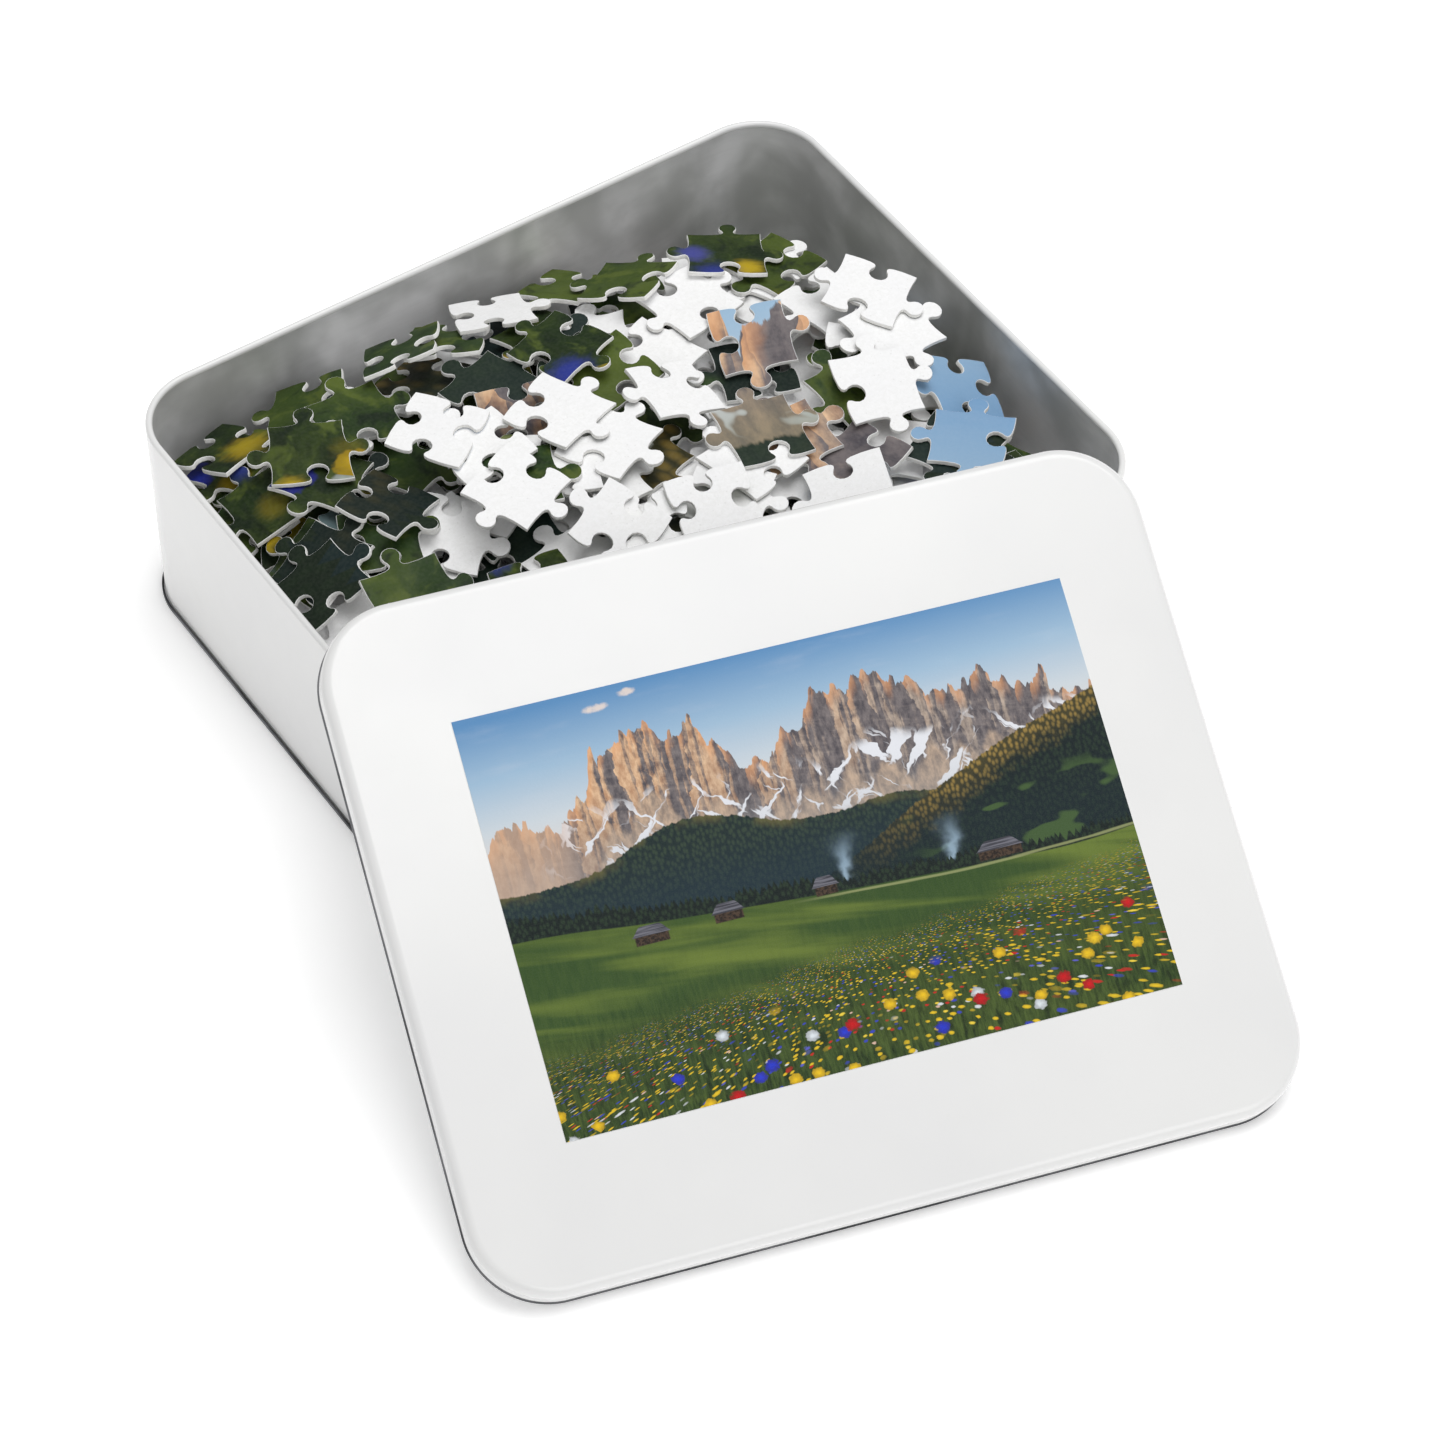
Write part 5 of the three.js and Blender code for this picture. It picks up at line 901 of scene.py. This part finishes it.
    (22,10,9.08,-32.81,29.39,0.7157,1,0.1122,-0.0277,0), (26,14,-67.82,49.26,27.27,5.3131,1,0.0764,-0.1739,0), (12,17,-15.47,-22.89,28.72,4.3848,-1,0.05,-0.007,0),
    (17,13,-29.24,16.56,30.09,1.2543,1,-0.1036,0.0767,0), (24,2,-0.8,0.95,29.9,0.4234,1,0.051,-0.0955,0), (21,1,29.34,62.59,28.24,3.5595,1,-0.1312,-0.1504,1),
    (13,16,-48.52,38.07,30.21,3.6869,1,-0.0434,-0.0091,0), (2,14,-78.76,-35.35,27,0.8118,1,0.15,-0.1241,0), (27,4,46.72,24.25,29.65,3.0853,-1,0.0389,0.0323,0),
    (1,19,-20.01,64.31,28.2,4.6664,-1,0.1687,-0.086,1), (20,2,71.85,7.1,27.82,0.3164,-1,0.0002,-0.1671,0), (10,19,78.8,-66.74,26.5,3.283,1,-0.1881,0.1555,1),
    (8,14,19.2,31.43,29.53,2.2039,-1,0.0365,0.0742,0), (18,5,11.01,-14.94,32.09,0.206,-1,-0.1213,0.1012,0), (13,20,61.28,-55.87,31.11,4.991,1,0.0661,0.0298,0),
    (30,12,-77.06,47.05,28.47,3.2199,-1,0.0764,-0.1739,0), (13,7,-33.96,56.81,29.77,3.8131,1,0.1582,-0.2334,0), (0,18,42.28,-12.82,29.38,2.6094,-1,-0.0511,-0.0134,0),
    (4,5,-53.2,-45.54,32.04,3.3631,1,0.0354,-0.0668,0), (22,17,41.24,6.58,31,0.0328,-1,0.0389,-0.0254,0), (16,18,-77.7,29.1,31.17,1.6575,-1,0.0666,0.0954,0),
    (2,20,20.1,13.81,31.23,3.0935,-1,-0.0484,-0.0107,0), (9,6,-83.12,56.27,27.92,0.486,1,0.0764,-0.1739,1), (24,15,-5.19,-46.91,30.85,3.1955,-1,-0.0161,-0.0183,0),
    (11,13,-2.36,-61.17,32.57,6.2345,-1,-0.0161,-0.0183,0), (25,6,-13.15,31.63,30.62,4.4255,1,-0.0834,-0.0256,0), (20,4,78.52,17.29,28.72,1.3016,-1,0.0206,-0.0651,1),
    (5,3,-73.63,-13.73,30.81,2.2533,1,-0.0237,0.0805,0), (11,12,16.01,-54.36,33.28,5.3694,1,-0.1503,-0.0183,0), (6,19,68.64,-12.79,30.79,4.9956,1,0.0593,0.0992,0),
    (23,7,-22.91,38.74,33.35,6.1666,-1,-0.1009,0.0143,0), (4,12,-27.44,-8.57,30.63,5.3644,-1,-0.0099,0.0514,0), (2,2,-64.43,11.9,32.34,3.4157,1,-0.0062,0.0514,1),
    (15,6,67.09,25.5,31.08,4.1914,1,-0.1064,-0.0485,0), (6,20,16.49,52.18,32.43,1.1297,-1,0.0371,0.0682,1), (11,7,-80.39,-64.82,24.89,5.0581,1,0.1314,0.188,1),
    (19,4,-78.63,-5.02,33.13,1.2383,-1,-0.0237,0.0805,1), (11,0,-41.81,-30.08,32.93,4.5092,-1,-0.0541,-0.0952,0), (10,9,64.59,45.13,32.22,4.0631,1,-0.1319,-0.0305,0),
    (10,14,-13.15,13.17,33.23,4.6255,-1,-0.0834,0.0464,0), (9,12,-84.04,-29.05,30.07,4.8367,-1,0.1235,0.1799,1), (8,6,42.42,39.09,34.17,2.1755,1,0.1576,0.0742,0),
    (9,18,-85.82,28.29,32.06,4.6906,-1,0.0666,0.0954,1), (10,4,45.54,-30.29,31.3,1.9973,-1,-0.0925,-0.0218,0), (5,9,37.12,-59.33,32.49,1.837,1,-0.0744,0.007,1),
    (8,4,-61.11,56.42,29.4,6.0733,1,-0.0837,-0.2803,0), (3,11,55.35,-6.57,32.98,1.1161,-1,0.016,0.0336,0), (18,17,65.2,-37.83,32.85,1.2815,-1,0.0189,-0.1003,0),
    (26,5,13.34,20.12,32.99,1.4193,-1,-0.0484,-0.0107,0), (22,3,-84.59,16.64,35.11,0.1906,1,0.0421,-0.0697,1), (9,10,-40.2,6.75,33.08,6.0505,1,-0.0501,-0.0098,0),
    (9,13,28.67,-22.76,33.58,2.3631,-1,0.0973,0.0356,0), (20,6,-1.13,42.58,33.58,1.7695,1,-0.0557,0.0536,0), (27,9,-60.67,-22.74,34.53,1.9071,-1,0.0459,-0.0104,0),
    (2,10,4.27,3.64,35.36,4.9864,1,-0.0429,-0.0325,0), (15,0,-70.45,-60.91,30.55,0.1918,1,0.2368,0.311,0), (22,16,4.39,-66.91,35.7,3.4922,-1,0.0006,0.2833,1),
    (18,6,-40.96,63.99,29.62,5.1071,1,0.104,-0.331,1), (22,6,78.44,3.85,33.02,1.0402,1,-0.161,-0.1108,1), (6,6,-64.44,63.95,29.78,5.6804,1,0.0283,-0.3237,1),
    (29,4,-22.9,-27.22,32.67,6.2343,-1,-0.1337,-0.1099,0), (27,11,-0.37,-34.98,33.77,0.2381,1,-0.0315,-0.0036,0), (22,18,27.38,-44.29,35.05,2.6159,-1,0.0139,0.0148,1),
    (23,10,-55.99,19.6,34.76,5.2101,-1,-0.0059,-0.0572,1), (23,9,-6.12,23.07,36.11,0.6159,1,0.0086,-0.084,0), (29,8,-78,-51.83,33.17,0.7394,-1,0.2368,0.311,0),
    (11,14,54.27,10.77,35,1.4872,-1,0.0905,-0.0588,0), (15,14,-45.28,45.69,35.16,4.5393,-1,0.0038,-0.0302,1), (24,19,27.66,5.13,35.97,4.2905,-1,-0.0291,-0.0371,0),
    (2,18,-20.34,-13.99,34.34,0.3866,-1,-0.0615,0.0164,0), (1,0,-74.95,65.5,30.54,6.0657,1,0.0283,-0.3237,1), (6,14,75.59,-40.56,34.82,4.5109,-1,0.0189,-0.1003,1),
    (28,11,29.69,27.68,36.12,1.261,1,-0.0291,-0.0815,0), (20,3,-37.36,21.73,36.21,5.2049,1,-0.1286,0.0753,0), (7,11,-27.82,-57.32,32.38,2.5703,1,-0.0933,0.1451,0),
    (10,7,11.6,58.68,35.03,6.0205,1,-0.0397,-0.0085,1), (16,3,51.82,-28.52,35.56,1.57,-1,-0.1325,-0.0112,0), (11,19,79.6,24.94,32.61,5.1169,-1,-0.185,-0.0602,1),
    (14,11,44.33,50.02,37.18,4.8797,1,0.1131,-0.0316,1), (8,7,-23.83,46.22,36.03,6.1265,1,0.0086,0.0079,0), (1,5,-10.02,-11.83,36.95,5.8353,-1,0.0367,0.1146,0),
    (3,9,-23.13,-65.19,34.23,3.7245,1,0.0244,0.0274,1), (24,11,-48.62,-54.21,36.31,0.5907,1,-0.0945,0.145,0), (30,1,-42.49,-12.56,36.59,4.0966,-1,0.0268,-0.0295,0),
    (5,0,-26.33,11.56,37.7,4.3587,-1,-0.0265,0.0637,0), (4,17,73.41,-17.18,36.5,2.0077,1,-0.0004,0.059,1), (21,9,41.41,-2.38,37.37,0.7997,1,-0.0886,0.0664,0),
    (27,20,53.38,-50.35,37.19,1.3887,1,0.1123,0.1394,1), (10,20,-82.3,-9.47,34.78,3.7606,-1,0.0235,0.0596,1), (15,7,-82.28,45.33,35.18,5.038,1,0.014,-0.0099,1),
    (18,4,-8.26,58.09,37.41,0.5908,-1,-0.0373,-0.0213,1), (3,2,-21.05,-36.08,36.01,4.4671,-1,-0.0394,-0.0014,1), (26,9,20.92,39.79,37.48,4.4814,1,0.0332,-0.0575,0),
    (1,6,-65.55,37.74,36.92,0.4102,1,-0.0002,0.0043,0), (0,4,-85.78,-47.26,34.34,3.2133,-1,0.2368,0.311,1), (28,8,14.76,-34.47,36.22,0.3454,-1,0.0682,-0.041,0),
    (25,17,-62.35,2.33,37.65,1.8626,-1,-0.0445,-0.0633,1), (12,6,7.04,38.32,39.07,0.7766,1,0.0332,0.0285,0), (19,17,46.31,25.21,37.74,1.6407,-1,-0.0919,0.0387,1),
    (30,16,-59.22,-64.31,37.36,2.9534,-1,-0.0945,0.145,1), (2,4,69.57,39.85,34.93,5.5928,-1,-0.1817,-0.1622,1), (30,5,-61.8,-28.49,36.64,4.1749,1,0.0873,0.0511,0),
    (23,0,8.21,-20.97,38.12,4.0115,-1,-0.037,0.0476,0), (4,10,-36.45,-65.57,36.99,0.4755,-1,-0.0683,0.1188,1), (17,3,9.42,-2.05,39.36,2.7701,-1,0.0058,-0.2271,0),
    (24,8,66.17,-58.8,38.14,5.8314,1,-0.1535,0.2059,0), (17,2,-70.45,-37.49,40.31,0.5255,1,-0.0959,-0.0701,1), (29,15,-12.45,-56.5,38.63,3.0299,-1,0.2094,0.0506,1),
    (8,2,26.7,-12.21,40.44,1.8342,-1,-0.249,0.1813,0), (29,11,-8.34,11.95,39.58,1.218,1,-0.0688,-0.1054,0), (11,3,25.59,-63.79,36.88,2.6438,-1,-0.187,0.1167,1),
    (5,17,-38.74,-33.32,38.88,0.0843,-1,-0.0804,-0.0114,1), (8,15,32.67,-36.37,39.21,2.9255,-1,0.0295,0.0364,0), (18,7,41.39,-63.55,39.52,5.1612,-1,0.0938,0.1019,1),
    (6,10,11.92,20.74,40.26,3.1001,1,-0.0541,0.0242,0), (20,5,67.83,9.57,38.03,0.8601,-1,-0.0041,0.0123,0), (0,5,53.02,-17.88,38.18,3.4801,1,0.0004,0.022,0),
    (29,2,-33.34,63.25,37.79,2.5797,-1,0.0606,-0.38,1), (0,8,-18.86,-18.12,38.24,5.4644,-1,0.0002,0.058,0), (7,2,-86.14,4.17,37.23,1.5654,-1,0.0182,0.0732,1),
    (6,3,9.22,-43.78,41.62,2.2785,-1,0.0015,-0.1712,1), (20,0,-43.87,6.86,39.36,1.379,-1,-0.0232,0.0643,0), (10,0,-83.04,-24.87,40.51,1.1049,-1,0.2054,-0.2828,1),
    (25,10,-28.88,27.92,40.02,1.0839,1,-0.035,-0.1735,1), (25,9,27.11,52.83,39.83,1.122,1,-0.1045,-0.1091,1), (25,8,-74.36,21.02,39.16,4.7325,-1,-0.0002,-0.0699,0),
    (9,7,70.54,49.97,34.65,4.2158,1,-0.1817,-0.1622,1), (18,0,-21.17,-35.36,39.71,5.4706,-1,-0.0296,-0.0108,1), (12,11,44.38,17.25,39.93,0.9584,1,-0.0118,0.0252,1),
    (23,11,-26.62,-55.39,40.43,5.4365,1,0.0104,0.158,1), (23,6,-58.83,61.93,34.56,2.9836,1,0.0341,-0.38,1), (10,6,-5.17,36.6,41.32,4.1906,1,0.0918,-0.0788,0),
    (2,3,-34.99,-3.67,40.42,6.1499,-1,0.0091,0.0469,0), (12,0,71.63,31.45,38.48,4.8476,-1,-0.1359,-0.0821,1), (24,4,66.6,-30.73,39.64,5.9378,1,-0.1446,-0.0271,0),
    (28,5,77.16,-65.15,36.68,2.1567,1,-0.1535,0.2059,1), (19,10,-22.26,-2.39,42.09,0.8201,1,0.0076,0.0474,0), (18,11,-51.46,-43.56,41.41,3.5028,1,-0.0241,0.0241,1),
    (7,5,-42.07,35.27,40.71,5.0423,1,0.0521,-0.2605,1), (16,5,-72.81,-55.36,42.25,0.9258,-1,0.0211,0.2339,1), (14,2,-58.46,-12.41,40.5,3.4872,1,0.0656,0.1284,1),
    (17,8,48.42,0.45,40.83,5.3861,-1,-0.0372,0.0578,0), (6,4,49.98,-42.77,42.97,2.0393,-1,0.0938,-0.0247,1), (26,8,-2.04,-27.23,41.38,2.8356,-1,0.0196,-0.0734,0),
    (7,4,19.59,13.55,41.2,4.962,-1,-0.0518,0.0236,1), (2,9,21.11,-27.86,42.77,5.2468,1,-0.137,0.0288,0), (25,11,-48.21,68.29,36.38,0.0082,1,0.2417,-0.38,1),
    (4,0,38.93,-15.14,42.57,0.2425,-1,-0.1169,0.0463,0), (10,8,48.35,39.99,40.8,1.5504,-1,-0.0542,-0.0641,1), (1,7,-80.36,52.04,37.76,1.9005,1,0.1093,-0.0505,0),
    (6,0,-64.83,7.99,42.02,2.3497,1,0.0086,-0.1037,1), (29,6,-53.37,47.03,42.4,3.6584,1,0.0558,0.0679,0), (3,7,-75.13,37.15,41.76,0.5728,1,0.0774,0.0742,0),
    (1,2,-36.84,-19.89,42.29,1.1859,-1,0.0274,0.0689,1), (21,6,72.29,37.35,39.42,0.5368,1,-0.1359,-0.0821,1), (14,7,73.69,17.11,41.23,2.0363,1,-0.1271,0.1106,1),
    (1,8,-17.4,50.18,42.76,3.2448,-1,-0.1153,-0.1478,1), (15,9,5.07,0.76,43.87,2.8647,1,0.1584,-0.0273,1), (18,10,68.42,-5.92,41.49,4.1569,-1,-0.1242,0.0588,0),
    (15,8,-52.2,29.63,44.72,3.2399,-1,-0.0033,-0.07,1), (24,1,-83.3,22.41,42.16,1.0423,1,0.172,0.0667,1), (10,1,48.09,-26.56,44.27,4.0872,-1,0.0299,-0.0573,0),
    (27,5,5.86,46.93,43.58,1.8236,-1,-0.028,-0.1001,1), (27,3,26.99,33.92,44.4,2.367,-1,-0.0495,0.1384,1), (8,10,35.69,11.18,43.48,4.1382,-1,-0.0403,0.0609,1),
    (12,8,-20.86,-62.13,41.04,0.3637,-1,0.0188,0.158,1), (13,11,-12.36,21.09,43.62,1.3634,1,0.0342,0.0686,0), (21,4,62.04,-64.6,41.1,2.9053,-1,-0.1917,0.2122,1),
    (26,4,-79.36,-11.74,42.12,4.6559,1,0.3356,-0.0846,1), (19,5,-45.12,7.17,45.31,3.6572,-1,-0.0189,0.1258,1), (21,5,20.66,-60.26,43.39,6.0571,-1,-0.0914,0.3395,1),
    (30,8,74.92,-30.7,39.95,5.4261,1,-0.1446,-0.0271,1), (21,11,-43.87,-54.74,43.06,5.8905,-1,0.0255,0.0356,1), (10,5,-82.18,-64.09,41.09,3.7337,1,0.1429,0.38,1),
    (23,8,54.27,48.27,41.87,6.1124,-1,-0.0476,-0.1185,1), (7,1,59.03,14.16,44.67,0.1848,-1,0.0061,0.0321,1), (0,1,-6.33,-14.17,44.16,2.923,-1,0.0751,0.1269,0),
    (17,4,73.36,-61.97,41.04,1.2759,-1,-0.1917,0.2122,1), (19,3,69.95,-22.53,43.91,6.2551,-1,-0.2525,-0.0276,1), (10,10,-18.13,-38.04,44.08,3.8711,-1,-0.0301,-0.0797,1),
    (4,2,-5.07,-63.14,44.39,3.4029,-1,0.1382,0.158,1), (5,4,38.36,-56.21,46.14,5.7881,-1,-0.0553,0.0758,1), (17,11,-83.45,6.88,43.47,5.3312,-1,0.2116,0.0271,1),
    (7,6,-35.16,55.36,45.01,5.021,1,-0.0283,-0.1333,1), (11,6,-86.91,58.96,38.2,6.2231,1,0.1093,-0.0505,1), (13,8,12.15,23.35,46.48,2.8313,-1,0.0214,0.026,1),
    (6,9,52.11,-7.25,46.44,3.3041,-1,0.1096,-0.023,1), (7,0,-67.94,57.3,43.67,1.0113,-1,0.2058,-0.2558,1), (24,3,22.54,-8.67,47.04,0.8003,-1,-0.048,0.1282,1),
    (3,1,64.71,37.97,44.43,5.902,-1,-0.0585,-0.1478,1), (1,4,-64.85,-27.5,45.93,5.4409,1,-0.1696,0.0969,1), (7,10,-6.96,8.39,46.84,2.358,1,0.1939,-0.0489,1),
    (11,2,-29.35,-13.42,45.07,1.6707,-1,0.0151,-0.0063,0), (30,0,21.16,-39.32,47.56,0.9534,1,0.0001,-0.2149,1), (2,8,71.01,-47.12,45.43,1.6747,1,-0.2473,0.0178,1),
    (17,10,-54.02,-58.33,44.3,4.1325,-1,0.0166,0.0356,1), (15,1,-36.23,-43.18,46.05,5.7502,-1,0.0789,-0.0797,1), (28,2,54.14,52.11,44.04,4.0761,-1,-0.0019,-0.2234,1),
    (29,9,39.37,24.68,46.18,3.83,-1,0.0251,0.02,1), (27,10,-25.39,36.13,47.4,3.114,1,-0.1104,0.1002,1), (21,7,-4.38,-48.24,48.09,5.8479,-1,0.1282,0.0464,1),
    (0,2,42.82,-26.42,48.33,3.4174,-1,0.0165,-0.0463,0), (17,7,-86.25,41.82,43.41,6.2358,1,0.3225,-0.131,1), (13,2,-19.44,19.05,48.28,4.6922,-1,0.0252,0.0716,0),
    (0,11,-24.11,-0.36,47.88,1.1441,-1,0.0274,0.1145,0), (10,11,-52.35,-16.48,47.56,5.8143,1,-0.0775,-0.0107,1), (5,11,-9.28,-22.31,47.97,4.4961,-1,0.0577,-0.1093,1),
    (3,6,33.11,50.5,46.96,1.3864,1,-0.0911,-0.2055,1), (19,1,-86.08,-48.13,45.52,4.5572,-1,0.38,-0.0108,1), (3,3,33.67,11.65,48.98,6.2134,-1,-0.1126,-0.001,1),
    (30,2,-62.01,-63,46.68,3.0034,-1,-0.0458,0.1136,1), (8,0,0.84,46.66,45.26,3.2039,-1,-0.028,-0.1001,0), (20,9,14.19,-20.78,49.56,5.1994,-1,-0.1545,0.0069,1),
    (3,4,-66.59,18.14,47.86,5.8681,1,0.0796,-0.1343,1), (3,10,-42.83,-31.56,48.4,6.1143,1,-0.0905,0.0125,1), (26,1,-29.9,-64.86,45.81,3.1646,-1,-0.0767,0.3627,1),
    (0,10,56.63,-47.1,49.08,4.8618,-1,0.0898,0.0324,1), (20,7,73.19,7.84,45.57,5.3193,1,-0.2641,0.1504,1), (5,5,-44.72,32.14,49.36,3.496,1,0.0763,-0.1093,1),
    (16,10,52.14,36.62,49.01,3.4707,-1,-0.0932,-0.0024,1), (13,5,-85.94,-4.66,44.16,1.4963,-1,0.2116,0.0271,1), (4,11,-18.72,53.26,47.61,5.3577,-1,-0.0752,-0.2723,1),
    (12,2,9.32,7.69,51.25,5.259,1,0.0952,-0.0207,1), (9,9,0.21,35.88,49.11,3.178,1,-0.041,-0.1806,1), (22,9,-65.71,33.81,50.1,0.1837,1,0.0763,0.0114,1),
    (14,5,-17.13,-40.07,50.32,4.2891,-1,0.0876,0.1779,1), (28,10,34.88,-7.11,50.35,1.2651,-1,-0.1039,0.0139,1), (0,9,67.4,-4.51,48.48,2.6015,1,-0.2748,0.0278,1),
    (25,5,-64.06,-7.78,49.65,5.7428,-1,0.0286,-0.126,1), (19,0,-78.89,61.71,43.06,0.3762,1,0.1555,-0.3424,1), (28,1,29.75,-30.18,51.26,3.7286,-1,-0.0376,0.0987,1),
    (14,4,74.18,-28.08,45.5,3.5638,1,-0.226,-0.107,1), (26,0,60.96,24.12,50.48,0.2914,-1,-0.0723,-0.0735,1), (12,9,-11.66,-66.12,47.3,2.3018,1,0.022,0.2994,1),
    (28,0,-21.15,-3.19,49.15,3.5623,-1,0.0274,0.1145,1), (10,3,-82.16,17.29,48.11,4.9932,1,0.38,0.0064,1), (9,2,13.53,41.2,50.76,1.1353,-1,0.0717,-0.1594,1),
    (8,11,-37.91,-10.45,50.58,1.4968,1,0.0163,0.0036,1), (14,9,-38.01,8.67,52.51,3.6676,-1,-0.0026,0.032,1), (27,1,53.07,-67.62,47.76,1.6471,-1,0.1061,0.38,1),
    (22,4,38.67,-50.19,51.96,1.8807,-1,-0.0376,-0.075,1), (4,8,-48.81,54.08,48.38,2.7194,-1,-0.095,-0.2134,1), (15,4,54.44,-31.58,52.36,5.5415,-1,-0.0583,0.0055,1),
    (15,11,16.48,-66.69,47.05,4.4247,-1,-0.0203,0.2175,1), (8,3,-9.94,-6.1,50.85,1.2415,-1,0.0193,0.0943,1), (20,8,-31.73,-23.4,52.9,1.7132,-1,0.0924,0.0175,1),
    (20,10,1.7,-33.39,52.74,1.7663,1,-0.132,0.0492,1), (9,0,74.57,-13.39,47.78,4.3433,-1,-0.3138,0.0506,1), (21,3,65.67,38.57,50.48,0.3358,-1,-0.0723,-0.1258,1),
    (29,10,41.64,8.3,52.94,2.7743,1,0.0474,-0.0337,1), (28,9,-28.27,-52.63,51.71,1.2839,-1,0.0134,-0.0041,1), (16,8,22.81,25.08,54.38,0.3933,-1,-0.035,0.0322,1),
    (30,10,2.6,-14.62,54.24,5.1802,-1,-0.1108,-0.0568,1), (9,5,74.28,-47.34,49.77,3.8011,1,-0.38,0.0591,1), (25,4,-16.43,32.36,52.44,1.3833,1,0.1323,0.1132,1),
    (11,10,-0.94,56.2,48.79,3.5746,1,0.0555,-0.2788,1), (2,0,-7.3,16.98,54.44,4.5428,1,0.0791,0.06,1), (18,8,-25.53,20.01,55.1,6.0937,1,0.0418,0.0653,1),
    (22,11,-28.68,53.87,50.64,0.3279,1,0.0357,-0.3564,1), (19,2,3.87,46.95,53.96,0.2757,1,-0.0875,-0.2216,1), (2,11,3.88,32.18,58.08,2.4867,1,0.0684,0.0901,1),
    (6,11,-19.23,35.16,57.88,0.2702,1,0.0777,-0.0159,1), (8,16,-19.78,22.32,59.55,2.7709,1,0.0777,-0.0159,1), (28,6,68.39,37.4,51.94,0.2602,1,-0.0723,-0.1258,1),
    (26,16,69.19,16.57,55.46,0.1809,-1,-0.0723,-0.0735,1), (26,2,66.14,-5.9,55.88,-0.665,-1,0.0753,0.2381,1), (2,6,57.59,-14.52,56.03,0.0819,1,0.0471,0.1364,1),
    (22,12,-0.91,-4.88,56.27,0.3205,1,-0.0962,-0.0072,1), (24,6,-15.36,-8.21,59.2,0.0503,-1,-0.0962,-0.0072,1), (24,9,-21.43,1.51,61.69,-0.4648,-1,0.0021,-0.0072,1),
]

bodies = set(frame["bodies"])
for row in TOP_PIECES:
    node = piece_name(row[0], row[1])
    o = pieces_object("cut_" + node, [row])
    body = "loose_" + node
    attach(o, body if body in bodies else "tin")
    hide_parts(node)

SHARE = 48
for k in range(0, len(HEAP_PIECES), SHARE):
    o = pieces_object("heap_layer_%02d" % (k // SHARE + 1), HEAP_PIECES[k:k + SHARE])
    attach(o, "tin")
    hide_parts("lower_pieces_heap")

# ------------------------------------------------------------------ floor and light
fm, n, b = material("pale_floor")
p = coords(n)
n.put(b.inputs["Base Color"], n.mix(n.step(n.noise(p, 3, 3), 0.3, 0.7), srgb(252, 252, 252), srgb(254, 254, 254)))
b.inputs["Roughness"].default_value = 0.9
b.inputs["Specular IOR Level"].default_value = 0.1
b.inputs["Emission Color"].default_value = (1, 1, 1, 1)
b.inputs["Emission Strength"].default_value = 0.28
fme = bpy.data.meshes.new("studio_floor")
ring = [(8 * math.cos(t), 8 * math.sin(t), -0.0003) for t in np.linspace(0, 2 * math.pi, 96, endpoint=False)]
fme.from_pydata(ring, [], [tuple(range(96))])
fme.materials.append(fm)
floor = bpy.data.objects.new("studio_floor", fme)
scene.collection.objects.link(floor)


def area(name, at, aim, size, power, colour=(1, 1, 1)):
    d = bpy.data.lights.new(name, "AREA")
    d.shape = "RECTANGLE"
    d.size, d.size_y = size
    d.energy = power
    d.color = colour
    o = bpy.data.objects.new(name, d)
    o.location = at
    o.rotation_mode = "QUATERNION"
    o.rotation_quaternion = (Vector(aim) - Vector(at)).to_track_quat("-Z", "Y")
    scene.collection.objects.link(o)
    return o


area("key_softbox", (0.38, 0.05, 1.9), (0.1, 0.0, 0), (1.4, 1.5), 22)
area("fill_softbox", (-0.15, -1.7, 1.2), (0, 0.0, 0), (1.2, 1.2), 7.5)
world = bpy.data.worlds.new("studio_world")
world.use_nodes = True
bg = world.node_tree.nodes["Background"]
bg.inputs["Color"].default_value = (1, 1, 1, 1)
bg.inputs["Strength"].default_value = 0.40
scene.world = world
scene.view_settings.view_transform = "Standard"
